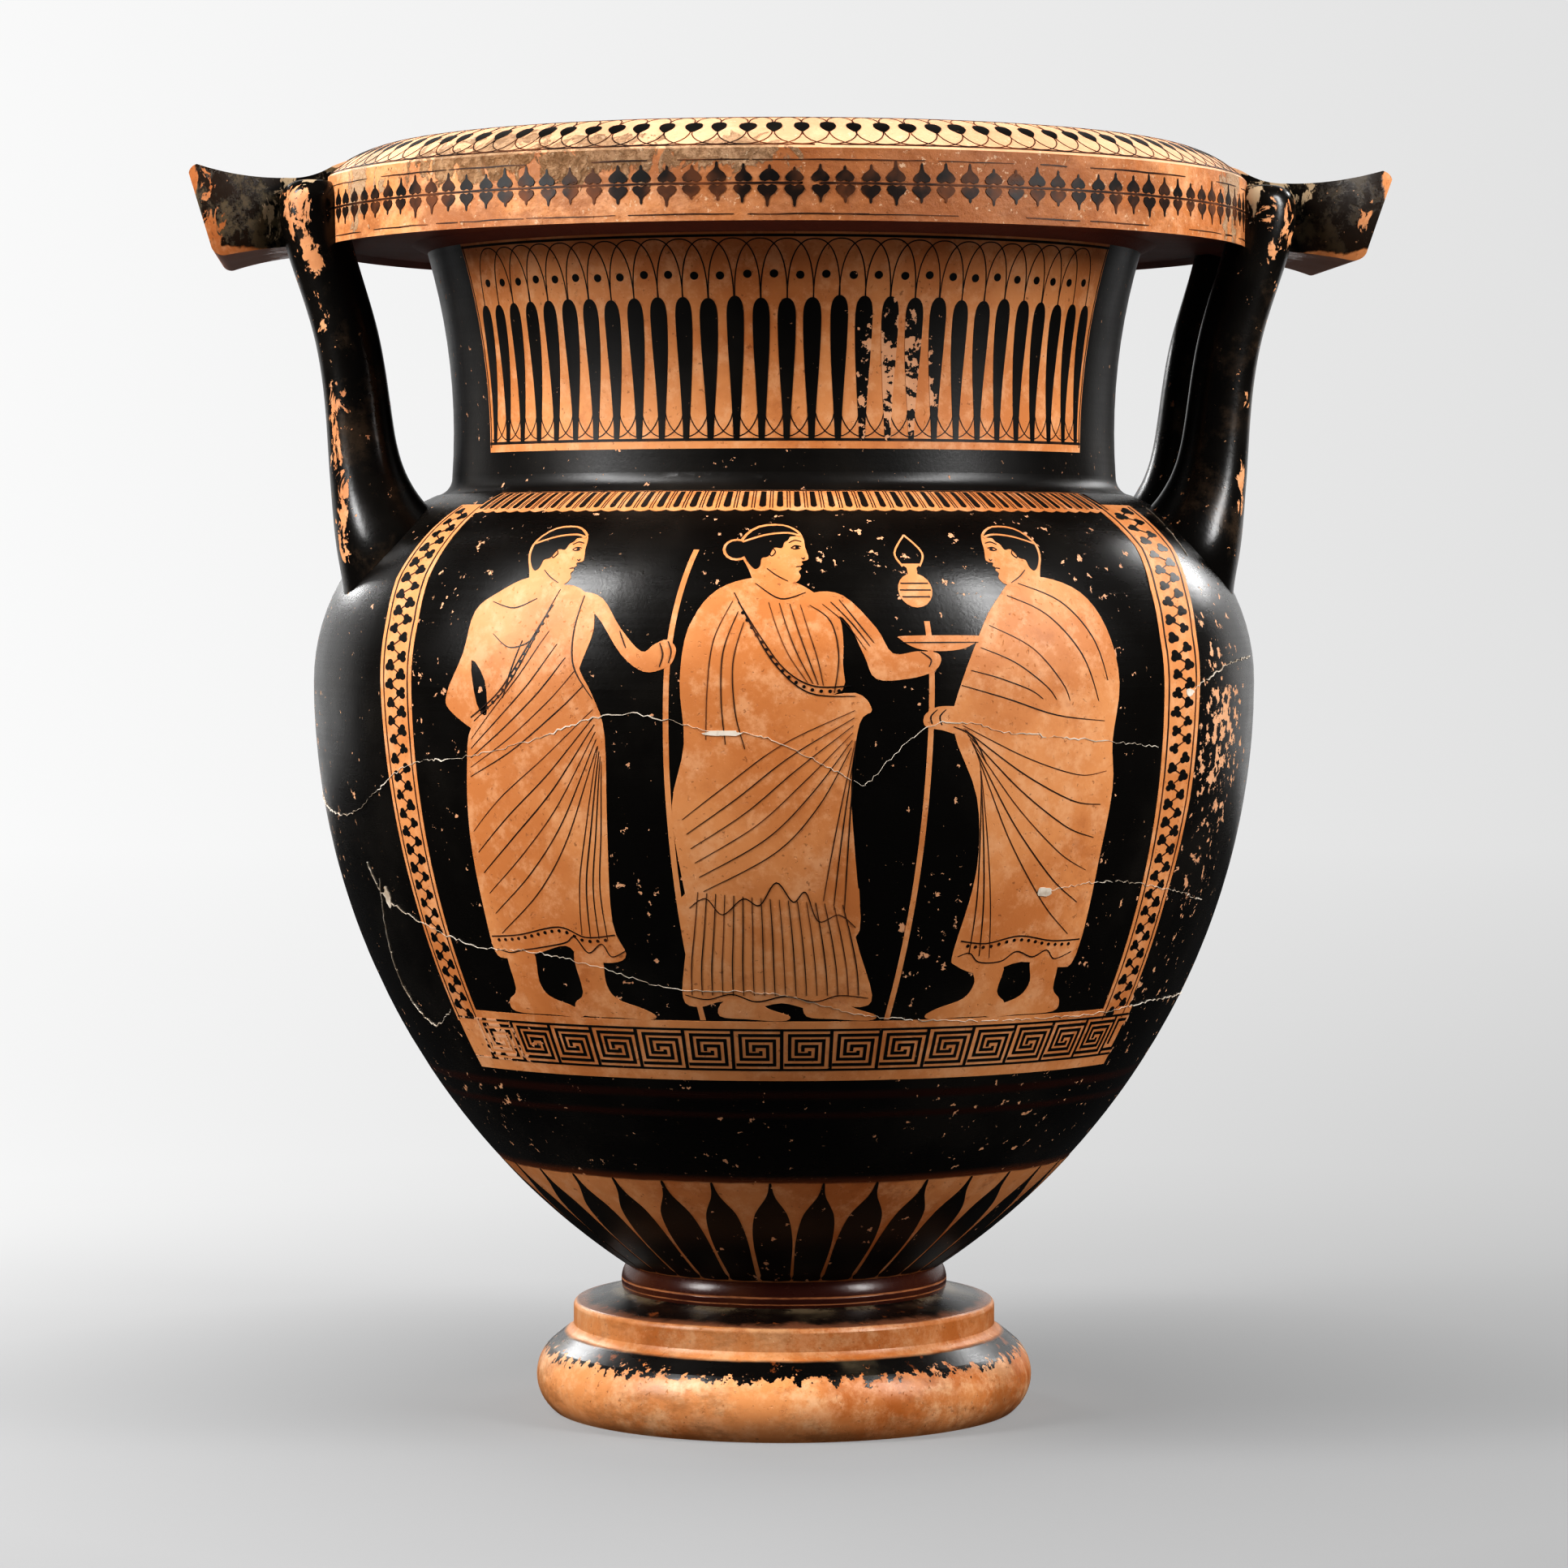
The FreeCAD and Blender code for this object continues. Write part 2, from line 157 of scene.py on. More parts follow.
def plainMaterial(name, values):
    nodes = Nodes(name)
    for socket, value in values.items():
        nodes.feed(nodes.shader.inputs[socket], value)
    return nodes.material


# The picture's camera
cameraSettings = {
    "distance": 1611.3,
    "height": 263.9,
    "azimuth": -4.1,  # degrees round the vase from its front towards +X
    "pitch": -2.31,
    "lens": 116.0,
    "sensor": 36,
    "sight": 50,  # metres
}


def makeCamera(look):
    data = bpy.data.cameras.new("photoCamera")
    data.lens, data.sensor_width, data.clip_end = look["lens"], look["sensor"], look["sight"]
    camera = addObject("photoCamera", data)
    camera.location = wayTo(look["azimuth"]) * look["distance"] * mm
    camera.location.z = look["height"] * mm
    camera.rotation_euler = (math.radians(90 + look["pitch"]), 0, math.radians(look["azimuth"]))
    bpy.context.scene.camera = camera


# Studio: a pale floor that runs out into a bright surround, both glowing with painted light, and soft lights
studioSettings = {
    "discRadius": 1.5,  # metres, as all sizes in this dictionary
    "surroundRadius": 3.4,
    "sweepRadius": 1.6,
    "sweepSteps": 24,
    "wallHeight": 6.0,
    "cardDrop": 0.002,
    "floorTone": (0.34, 0.34, 0.344),
    "cardTone": (0.14, 0.134, 0.127),  # what the floor throws back up at the vase
    # how bright the paper's painted glow is at some distances from the vase
    "tones": [(0.12, 0.42), (0.3, 0.53), (0.7, 0.575), (1.5, 0.595), (3.4, 0.63)],
    "leftToRight": (-0.47, 0.35),  # painted shade: the glow is darker to the right, less so within this distance
    "front": (-0.32, 0.25, 0.80),  # painted shade: the glow is darker towards the camera: from and to where, and how much
    # from and to where the vase's own shadows fade out into the painted glow, and the share without shadow
    # before that
    "shadows": (0.12, 0.6, 0.55),
    "backPanel": (1.9, 130, 236, 0.02, 1.5, 0.62),  # radius, two azimuths, two heights, brightness
    "air": ((0.9, 0.92, 0.95), 0.035),
    "aim": 0.22,  # the lights' aim, up the axis
    # azimuth from the camera's, elevation, distance, width, tall, watts, seen in reflections
    "lights": {
        "keyLeft": (-64, 32, 1.5, 0.36, 1.1, 26, True),
        "keyRight": (60, 31, 1.6, 0.34, 1.1, 23, True),
        "glintLeft": (-145, 22, 1.6, 0.25, 0.5, 4, True),
        "glintRight": (135, 26, 1.6, 0.3, 0.5, 4, True),
        "overhead": (-10, 80, 1.5, 0.9, 0.9, 7, False),
        "frontFill": (-8, 22, 2.3, 1.4, 1.4, 1.8, False),
    },
}


def revolveSheet(name, outline, material, hiddenFrom, rounds=96):
    # turns an outline of (radius, height) in metres about the axis
    points, faces = [], [tuple(range(rounds))] if outline[0][0] < 0.1 else []
    for r, z in outline:
        for turn in range(rounds):
            angle = math.tau * turn / rounds
            points.append((r * math.sin(angle), -r * math.cos(angle), z))
    for level in range(len(outline) - 1):
        for turn in range(rounds):
            here, there = level * rounds + turn, level * rounds + (turn + 1) % rounds
            faces.append((here, here + rounds, there + rounds, there))
    sheet = addMesh(name, points, faces)
    sheet.data.shade_smooth()
    sheet.data.materials.append(material)
    for rays in hiddenFrom:
        setattr(sheet, "visible_" + rays, False)


def makePaper(look):
    nodes = Nodes("palePaper")
    for socket, value in (("Base Color", look["floorTone"]), ("Roughness", 0.9), ("Specular IOR Level", 0.1)):
        nodes.feed(nodes.shader.inputs[socket], value)
    # the paper glows with painted light: brighter away from the vase, darker to the right and towards the
    # camera
    away = nodes.length(nodes.place())
    tone = look["tones"][0][1]
    for (near, first), (far, last) in zip(look["tones"], look["tones"][1:]):
        tone = nodes.math("ADD", nodes.step(away, near, far, 0.0, last - first, "LINEAR"), tone)
    fall, middle = look["leftToRight"]
    aside = nodes.math("DIVIDE", nodes.part(nodes.place(), "X"), nodes.math("ADD", away, middle))
    nearer = nodes.step(nodes.part(nodes.place(), "Y"), *look["front"], kind="LINEAR")
    tone = nodes.times(nodes.times(tone, nearer), nodes.blend(aside, fall, 1.0))
    glow = nodes.add("ShaderNodeEmission", {}, {"Strength": tone})
    # near the vase the paper is partly lit and shadowed, further out it is only the painted glow
    share = nodes.step(away, *look["shadows"])
    mixed = nodes.add("ShaderNodeMixShader", {}, {0: share, 1: nodes.shader.outputs[0], 2: glow})
    nodes.feed(nodes.tree.nodes["Material Output"].inputs["Surface"], mixed)
    return nodes.material


def makePanel(radius, start, end, low, high, brightness, steps=24):
    # a bright curved screen behind the vase, seen only in its gloss
    points = []
    for step in range(steps + 1):
        way = wayTo(start + (end - start) * step / steps + cameraSettings["azimuth"]) * radius
        points += [(way.x, way.y, low), (way.x, way.y, high)]
    faces = [(2 * step, 2 * step + 1, 2 * step + 3, 2 * step + 2) for step in range(steps)]
    panel = addMesh("backPanel", points, faces)
    panel.visible_camera = panel.visible_diffuse = panel.visible_shadow = False
    values = {"Base Color": (0, 0, 0), "Emission Color": (1, 1, 1), "Emission Strength": brightness}
    panel.data.materials.append(plainMaterial("panelGlow", values))


def makeLight(name, azimuth, elevation, distance, width, tall, watts, mirrored):
    data = bpy.data.lights.new(name, "AREA")
    data.shape, data.size, data.size_y, data.energy = "RECTANGLE", width, tall, watts
    light = addObject(name, data)
    way = wayTo(azimuth + cameraSettings["azimuth"], elevation)
    light.location = Vector((0, 0, studioSettings["aim"])) + way * distance
    light.rotation_euler = (-way).to_track_quat("-Z", "Y").to_euler()
    light.visible_camera = False
    light.visible_glossy = mirrored


def makeStudio(look):
    paper = makePaper(look)
    card = plainMaterial("bounceTone", {"Base Color": look["cardTone"], "Roughness": 1.0})
    wide, sweep, steps = look["discRadius"], look["sweepRadius"], look["sweepSteps"]
    outline = [(wide, 0.0)]
    for step in range(steps + 1):
        turn = math.pi / 2 * step / steps
        outline.append((look["surroundRadius"] + sweep * math.sin(turn), sweep * (1 - math.cos(turn))))
    outline.append((outline[-1][0], look["wallHeight"]))
    unseen = ("glossy", "diffuse", "shadow")
    revolveSheet("studioFloor", [(0.05, 0.0), (0.5, 0.0), (wide, 0.0)], paper, unseen)
    revolveSheet("studioSurround", outline, paper, unseen)
    outline = [(r, -look["cardDrop"]) for r in (0.05, 0.5, wide)]
    revolveSheet("bounceCard", outline, card, ("camera", "glossy", "shadow"))
    makePanel(*look["backPanel"])
    for name, values in look["lights"].items():
        makeLight(name, *values)
    world = bpy.data.worlds.new("studioAir")
    world.use_nodes = True
    air = world.node_tree.nodes["Background"].inputs
    air["Color"].default_value, air["Strength"].default_value = (*look["air"][0], 1), look["air"][1]
    bpy.context.scene.world = world
    bpy.context.scene.view_settings.view_transform = "Standard"
    bpy.context.scene.view_settings.look = "High Contrast"


makeCamera(cameraSettings)
makeStudio(studioSettings)
print("camera and studio ready")


# Clay and gloss. Each pattern is a noise's scale, detail, roughness and offset, and the levels
# where it begins and is full
clayLook = {
    "bright": (0.72, 0.325, 0.13),
    "deep": (0.50, 0.165, 0.038),
    "pale": (0.82, 0.47, 0.27),
    "stain": (0.24, 0.075, 0.022),
    "smudge": (0.38, 0.115, 0.028),
    "chip": (0.78, 0.52, 0.36),
    "thin": (0.20, 0.065, 0.018),  # slip that ran thin
    "broad": (17, 6, 0.6, 0.0, 0.42, 0.62),
    "fine": (130, 7, 0.72, 0.7, 0.46, 0.66),
    "spots": (520, 3, 0.6, 2.1, 0.66, 0.71),
    "smudges": (40, 7, 0.74, 8.2, 0.56, 0.68),
    "strengths": {"fine": 0.5, "spots": 0.55},
}
glossLook = {
    "black": (0.0066, 0.0054, 0.0044),
    "worn": (0.020, 0.017, 0.014),
    "roughness": 0.2,
    "broad": (22, 4, 0.55, 1.3, 0.45, 0.75),
    "specks": (640, 2, 0.5, 6.3, 0.735, 0.75),
    "speckStrength": 0.35,
    "chips": (260, 4, 0.62, 3.3),
    "chipField": (16, 2, 0.55, 5.1),
    "edge": (8, 0.66, 8.8, (1, 1, 0.6), 0.7),  # the ragged outline of a worn place
}
surfaceLook = {
    "specular": 0.42,
    "smear": (60, 4, 0.55, 4.4),
    "smearDepth": 0.14,
    "wheel": (8, 3, 0.55, 0.2, (1, 1, 110)),
    "wheelMarks": (0.42, 0.62, 0.015),
    "grain": (900, 3, 0.6),
    "pits": (620, 4, 0.6, 1.6, 0.36, 0.30),
    # depths in metres, and strengths
    "reliefs": {
        "wheel": (0.00005, 0.14),
        "grain": (0.00007, 0.5),
        "pits": (-0.00016, 0.8),
        "slip": (0.00012, 1.0),
    },
}


def clayColour(nodes, look=clayLook, dirt=0.5):
    colour = nodes.mix(nodes.patches(*look["broad"]), look["bright"], look["deep"], 0.35 + dirt * 0.9)
    colour = nodes.mix(nodes.patches(*look["fine"]), colour, look["pale"], look["strengths"]["fine"])
    colour = nodes.mix(nodes.patches(*look["smudges"]), colour, look["smudge"], dirt)
    return nodes.mix(nodes.patches(*look["spots"]), colour, look["stain"], look["strengths"]["spots"])


def glossColour(nodes, look=glossLook):
    colour = nodes.mix(nodes.patches(*look["broad"]), look["black"], look["worn"])
    return nodes.mix(nodes.patches(*look["specks"]), colour, clayLook["pale"], look["speckStrength"])


def chipColour(nodes, pale=0.45):
    # the clay that a chip lays bare is paler than the polished one
    return nodes.mix(pale, clayColour(nodes), clayLook["chip"])


def awayFrom(nodes, spot):
    # distance from a spot (x, y, z, reach, tall) as a share of its reach, stretched in height
    x, y, z, reach, tall = spot
    squash = reach / tall
    inputs = {"Scale": (1, 1, squash), "Location": (-x * mm, -y * mm, -z * squash * mm)}
    moved = nodes.add("ShaderNodeMapping", {}, {"Vector": nodes.place(), **inputs})
    return nodes.math("DIVIDE", nodes.length(moved), reach * mm)


def wornPlaces(nodes, spots, ragged=4.6, scale=200):
    # 1 within the ragged outlines of some spots
    edge = nodes.noise(scale, *glossLook["edge"])
    nearest = awayFrom(nodes, spots[0])
    for spot in spots[1:]:
        nearest = nodes.math("MINIMUM", nearest, awayFrom(nodes, spot))
    field = nodes.math("ADD", nearest, nodes.blend(edge, ragged * 2, -ragged))
    return nodes.step(field, 1.03, 0.97)


def flakeMask(nodes, amount, crowded=(), spread=0.22, crowding=0.12):
    # where the gloss has come away: rare chips of several sizes, more of them near some spots
    limit = nodes.blend(nodes.noise(*glossLook["chipField"]), -spread, amount)
    for spot in crowded:
        near = nodes.most(nodes.inverse(awayFrom(nodes, spot)), 0.0)
        limit = nodes.blend(near, -crowding, limit)
    return nodes.step(nodes.math("SUBTRACT", nodes.noise(*glossLook["chips"]), limit), 0.0, 0.012)


def finishSurface(nodes, colour, bare, matt=0.24, dull=0.0, thrown=1.0, look=surfaceLook):
    # colour is joined with how glossy it is: gloss is smooth, bare clay is satin
    shader = nodes.shader
    nodes.feed(shader.inputs["Base Color"], colour)
    shader.inputs["Specular IOR Level"].default_value = look["specular"]
    rough = nodes.blend(bare, matt, glossLook["roughness"] + dull)
    smear = nodes.times(nodes.noise(*look["smear"]), look["smearDepth"])
    wheel = nodes.noise(*look["wheel"])
    low, high, depth = look["wheelMarks"]
    smear = nodes.blend(nodes.step(wheel, low, high), depth * thrown, smear)
    nodes.feed(shader.inputs["Roughness"], nodes.math("ADD", rough, smear))
    pits = nodes.times(nodes.patches(*look["pits"]), bare)
    grain = nodes.noise(*look["grain"])
    heights = {"wheel": wheel, "grain": grain, "pits": pits, "slip": nodes.inverse(bare)}
    relief = None
    for name, (depth, strength) in look["reliefs"].items():
        relief = nodes.bump(heights[name], depth, strength * (thrown if name == "wheel" else 1.0), relief)
    nodes.feed(shader.inputs["Normal"], relief)
    return relief


def heightOf(nodes, wobble=0.0, scale=40):
    # height in millimetres, with a brush's wandering
    height = nodes.times(nodes.part(nodes.place(), "Z"), 1000.0)
    if not wobble:
        return height
    return nodes.math("ADD", height, nodes.blend(nodes.noise(scale, 4, 0.65, 6.6), wobble * 2, -wobble))


def above(nodes, height, level, soft=0.3):
    return nodes.step(height, level - soft, level + soft)


def band(nodes, height, low, high, soft=0.3):
    return nodes.times(above(nodes, height, low, soft), nodes.step(height, high + soft, high - soft))


def facing(nodes, axis, low, high):
    # 1 where the surface looks along an axis of the vase
    return nodes.step(nodes.part(nodes.add("ShaderNodeTexCoord", output="Normal"), axis), low, high)


def radiusOf(nodes):
    inputs = {0: nodes.place(), 1: (1000, 1000, 0)}
    return nodes.length(nodes.add("ShaderNodeVectorMath", {"operation": "MULTIPLY"}, inputs))


def makeGloss(name, amount, crowded=(), dull=0.0):
    nodes = Nodes(name)
    flaked = flakeMask(nodes, amount, crowded)
    finishSurface(nodes, nodes.mix(flaked, glossColour(nodes), chipColour(nodes)), flaked, dull=dull)
    return nodes.material


def makeClay(name):
    nodes = Nodes(name)
    finishSurface(nodes, clayColour(nodes, dirt=0.3), 1.0)
    return nodes.material


def makeLine(name, colour, patchy):
    # thin slip drawn with a fine brush: dark, and brown where it ran thin
    nodes = Nodes(name)
    thin = nodes.patches(70, 3, 0.55, 7.7, 0.45, 0.72)
    finishSurface(nodes, nodes.mix(thin, colour, clayLook["thin"], patchy), nodes.times(thin, 0.6), dull=0.2)
    return nodes.material


# The bowl's lower part: bare clay round its base for the rays, and two thin brown bands
lowerBowl = {
    "rayTop": 81.8,
    "halo": (0.16, 0.045, 0.012),
    "haloRise": 3.0,
    "brown": (0.035, 0.009, 0.005),
    "bands": [(103.4, 105.2), (109.6, 112.0)],
    "chips": 0.775,
    "crowded": [
        (126, -77, 206, 34, 70), (-60, -110, 128, 30, 30), (131, -71, 225, 26, 50), (30, -130, 160, 24, 30),
    ],
}


def makeLowerBowl(look):
    nodes = Nodes("lowerBowl")
    height = heightOf(nodes, 0.7)
    black = above(nodes, height, look["rayTop"], 0.35)
    flaked = nodes.times(flakeMask(nodes, look["chips"], look["crowded"]), black)
    gloss = glossColour(nodes)
    for low, high in look["bands"]:
        gloss = nodes.mix(band(nodes, height, low, high, 0.8), gloss, look["brown"])
    halo = nodes.step(height, look["rayTop"] + look["haloRise"], look["rayTop"])
    gloss = nodes.mix(flaked, nodes.mix(halo, gloss, look["halo"]), chipColour(nodes))
    colour = nodes.mix(black, clayColour(nodes), gloss)
    finishSurface(nodes, colour, nodes.most(flaked, nodes.inverse(black)))
    return nodes.material


# The foot and its fillet
footLook = {
    "topBlack": 34.1,
    "toeBlack": (19.3, 24.4),
    "toeRagged": (8.5, 300),
    "wornEdge": (0.20, 0.085, 0.045),
    "wornRise": (1.3, 0.2),
    "black": (0.006, 0.0055, 0.005),
    "dust": (0.20, 0.16, 0.10),
    "cream": (0.82, 0.54, 0.33),
    "grime": (0.34, 0.14, 0.045),
    "matt": 0.12,
    "rubbed": (150, 5, 0.7, 2.9, 0.60, 0.66),
    "dusty": (30, 4, 0.6, 9.4, 0.5, 0.7),
    "pale": (46, 8, 0.76, 1.9, 0.48, 0.62),
    "grimy": (24, 8, 0.76, 7.3, 0.47, 0.62, (1, 1, 2.2)),
    "crusted": (70, 6, 0.7, 1.7, 0.44, 0.56),
    "crustRadii": (57.0, 52.5),
}
filletLook = {
    "red": (0.070, 0.018, 0.011),
    "brown": (0.105, 0.034, 0.014),
    "patchy": (55, 4, 0.55, 3.8, 0.4, 0.7),
    "line": (0.46, 0.19, 0.08),
    "lines": [(41.0, 41.6), (39.0, 39.4)],
    "gaps": (45, 5, 0.7, 5.8, 0.25, 0.5),
}


def makeFoot(look):
    nodes = Nodes("footClay")
    height = heightOf(nodes, 0.5)
    top = above(nodes, height, look["topBlack"], 0.25)
    low, high = look["toeBlack"]
    ragged = above(nodes, heightOf(nodes, *look["toeRagged"]), low, 0.1)
    black = nodes.most(top, nodes.times(ragged, nodes.step(height, high + 0.5, high - 0.5)))
    edge = [look["topBlack"] + rise for rise in look["wornRise"]]
    worn = nodes.times(top, nodes.step(heightOf(nodes, 1.2, 120), *edge))
    clay = nodes.mix(nodes.patches(*look["pale"]), clayColour(nodes, dirt=0.7), look["cream"], 0.6)
    clay = nodes.mix(nodes.patches(*look["grimy"]), clay, look["grime"], 0.55)
    # the clay is painted darker above the toe's black band
    clay = nodes.mix(above(nodes, height, high, 0.8), clay, look["grime"], 0.35)
    gloss = nodes.mix(nodes.patches(*look["dusty"]), look["black"], look["dust"], 0.45)
    gloss = nodes.mix(nodes.patches(*look["rubbed"]), gloss, clayLook["stain"], 0.8)
    gloss = nodes.mix(worn, gloss, look["wornEdge"])
    crusted = nodes.times(nodes.step(radiusOf(nodes), *look["crustRadii"]), nodes.patches(*look["crusted"]))
    gloss = nodes.mix(crusted, gloss, look["dust"], 0.8)
    finishSurface(nodes, nodes.mix(black, clay, gloss), nodes.inverse(black), look["matt"])
    return nodes.material


def makeFillet(look):
    nodes = Nodes("filletSlip")
    height = heightOf(nodes, 0.35)
    colour = nodes.mix(nodes.patches(*look["patchy"]), look["red"], look["brown"])
    lines = nodes.most(*[band(nodes, height, low, high, 0.15) for low, high in look["lines"]])
    lines = nodes.times(lines, nodes.patches(*look["gaps"]))
    finishSurface(nodes, nodes.mix(lines, colour, look["line"]), nodes.times(lines, 0.6))
    return nodes.material


# The mouth: clay outside and on top, black inside, dull red-brown underneath, crusted near the handles. Its
# top has a painted highlight, and its underside and the frieze's front have painted shade
rimLook = {
    "inside": 106.4,
    # painted shade in part: the underside's dull red-brown is darker than the clay
    "under": (0.24, 0.080, 0.055),
    "crust": (0.50, 0.35, 0.21),
    "olive": (0.20, 0.14, 0.07),
    "cream": (0.84, 0.50, 0.32),
    "brown": (0.34, 0.12, 0.036),
    "shadeTone": (0.27, 0.095, 0.028),
    "shadedSpot": (26, -145, 378, 110, 60),  # painted shade: the frieze is painted darkest round this spot
    "beige": (0.60, 0.45, 0.30),
    "grit": (0.80, 0.62, 0.44),
    "joints": [
        (-133, -61, 385, 8, 13), (134, -60, 384, 8, 14), (134, 60, 384, 8, 14), (-134, 60, 384, 8, 14),
    ],
    "crusted": [(-100, -107, 388, 26, 6.5), (-62, -133, 387, 26, 5.5), (-30, -144, 388, 18, 4)],
    "lumps": (330, 7, 0.72, 4.9),
    "lumpDepth": 0.0018,
    "pale": (48, 7, 0.74, 6.1, 0.44, 0.66),
    "stains": (27, 8, 0.76, 4.1, 0.43, 0.60, (1, 1, 1.7)),
    "gritty": (480, 5, 0.7, 9.7, 0.60, 0.66),
}


def makeRim(look):
    nodes = Nodes("rimClay")
    inside = nodes.step(radiusOf(nodes), look["inside"] + 0.2, look["inside"] - 0.2)
    outer = nodes.inverse(inside)
    crown = facing(nodes, "Z", 0.2, 0.7)
    lumps = nodes.noise(*look["lumps"])
    # painted highlight: faces looking up, the crown, are painted cream, besides random pale patches
    pale = nodes.most(nodes.times(crown, 0.75), nodes.times(nodes.patches(*look["pale"]), 0.36))
    clay = nodes.mix(pale, clayColour(nodes), look["cream"])
    # painted highlight: the crown, facing up, takes fewer stains than the frieze, so it is painted paler
    clay = nodes.mix(nodes.patches(*look["stains"]), clay, look["brown"], nodes.blend(crown, -0.55, 0.76))
    # painted shade: the frieze is painted darker round a spot at its front middle, fading to none on the
    # crown
    shadedSpot = nodes.step(awayFrom(nodes, look["shadedSpot"]), 1.0, 0.3)
    clay = nodes.mix(shadedSpot, clay, look["shadeTone"], nodes.blend(crown, -0.62, 0.62))
    crust = nodes.mix(nodes.step(lumps, 0.44, 0.60), look["olive"], look["crust"])
    crusted = wornPlaces(nodes, look["crusted"], 3.0, 120)
    clay = nodes.mix(crusted, clay, crust, 0.62)
    joints = wornPlaces(nodes, look["joints"], 3.4, 110)
    clay = nodes.mix(joints, clay, nodes.mix(lumps, look["beige"], look["crust"]), 0.72)
    clay = nodes.mix(nodes.patches(*look["gritty"]), clay, look["grit"], 0.5)
    # the underside is painted dull red-brown: partly the clay's own colour, partly painted shade
    clay = nodes.mix(facing(nodes, "Z", -0.6, -0.8), clay, look["under"])
    relief = finishSurface(nodes, nodes.mix(inside, clay, glossColour(nodes)), outer)
    rough = nodes.times(nodes.blend(nodes.most(crusted, joints), 0.8, 0.2), nodes.times(lumps, outer))
    nodes.feed(nodes.shader.inputs["Normal"], nodes.bump(rough, look["lumpDepth"], 1.0, relief))
    return nodes.material


# The handles: gloss worn off in large patches where hands and other pots have rubbed them
handleLook = {
    "worn": {
        "left_front_column": [
            (-153, -41, 377, 3.8, 6), (-150, -42, 365, 3.0, 6), (-155, -37, 353, 2.2, 6),
            (-146, -38, 343, 1.4, 3), (-142, -39, 319, 2.4, 5), (-142, -39, 303, 2.2, 8),
            (-140, -40, 284, 2.4, 8),
        ],
        "right_front_column": [
            (153, -44, 378, 4.6, 4), (157, -40, 371, 3.2, 4), (151, -41, 366, 1.7, 4),
            (141, -36, 320, 1.4, 4), (140, -38, 292, 1.6, 5),
        ],
        "left_back_column": [(-155, 38, 374, 4.5, 6), (-142, 40, 310, 2.6, 8)],
        "right_back_column": [(155, 38, 376, 4.5, 5), (142, 40, 330, 2.2, 8), (140, 40, 290, 2.2, 6)],
    },
    "plateWorn": [
        (-180, -42, 371, 4, 5), (-184, -44, 386, 4, 4), (178, -42, 377, 2.4, 3), (171, -40, 372, 1.5, 2),
        (-180, 42, 375, 4.5, 5), (181, 42, 372, 4.5, 5),
    ],
    "chips": 0.775,
    "smoke": (0.085, 0.055, 0.034),
    "smoky": (44, 7, 0.72, 5.5, 0.48, 0.66),
    "abraded": (0.15, 0.115, 0.065),
    "dulled": (75, 8, 0.78, 3.1, 0.48, 0.58),
    "abrasion": {"left_handle_plate": 0.85, "right_handle_plate": 0.3},
    # partly painted shade: the plates' undersides are painted a darker red-brown
    "under": (0.42, 0.18, 0.11),
    "edge": (110, 5, 0.66, 7.1),  # how the gloss of a plate breaks off towards its edges
    "crust": (0.54, 0.41, 0.27),
    "crusted": [
        (-149, -33, 387, 4, 5), (-143, -37, 374, 2.2, 6), (145, -37, 383, 2.6, 7), (-145, 36, 382, 3, 7),
        (145, 36, 382, 3, 7),
    ],
    "joint": (150, 34, 386, 9, 9),
    "jointFade": (162.0, 148.0),
}


def makeColumn(node, look):
    nodes = Nodes(node + "Gloss")
    flaked = nodes.most(flakeMask(nodes, look["chips"]), wornPlaces(nodes, look["worn"][node]))
    gloss = nodes.mix(nodes.patches(*look["smoky"]), glossColour(nodes), look["smoke"], 0.6)
    crusted = wornPlaces(nodes, look["crusted"], 3.6, 150)
    colour = nodes.mix(crusted, nodes.mix(flaked, gloss, chipColour(nodes, 0.15)), look["crust"], 0.8)
    finishSurface(nodes, colour, nodes.most(flaked, crusted), thrown=0.0)
    return nodes.material


def makePlate(node, look):
    nodes = Nodes(node + "Slip")
    side = -1 if node.startswith("left") else 1
    end = abs(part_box(node)[0 if side < 0 else 1].x) / mm
    bottom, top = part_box(node)[0].z / mm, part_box(node)[1].z / mm
    ragged = nodes.noise(*look["edge"])
    outward = nodes.times(nodes.part(nodes.place(), "X"), 1000.0 * side)
    bare = nodes.most(
        above(nodes, nodes.blend(ragged, 7.0, outward), end + 1.9, 0.4),
        above(nodes, nodes.blend(ragged, 5.0, heightOf(nodes)), top + 0.3, 0.4),
        wornPlaces(nodes, [spot for spot in look["plateWorn"] if spot[0] * side > 0]),
        facing(nodes, "Z", 0.45, 0.6),
        nodes.inverse(above(nodes, nodes.blend(ragged, -5.0, heightOf(nodes)), bottom + 0.4, 0.4)),
    )
    dull = nodes.times(nodes.patches(*look["dulled"]), look["abrasion"][node])
    x, y, *rest = look["joint"]
    joint = wornPlaces(nodes, [(side * x, -y, *rest), (side * x, y, *rest)], 4.0, 120)
    gloss = nodes.mix(joint, nodes.mix(dull, glossColour(nodes), look["abraded"]), look["crust"], 0.8)
    clay = nodes.mix(nodes.step(outward, *look["jointFade"]), clayColour(nodes), look["crust"], 0.7)
    # undersides painted red-brown, partly painted shade
    colour = nodes.mix(facing(nodes, "Z", -0.5, -0.7), nodes.mix(bare, gloss, clay), look["under"])
    finishSurface(nodes, colour, nodes.most(bare, nodes.times(dull, 0.7)), thrown=0.0)
    return nodes.material


def dress(node, material):
    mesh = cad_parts[node].data
    mesh.materials.clear()
    mesh.materials.append(material)


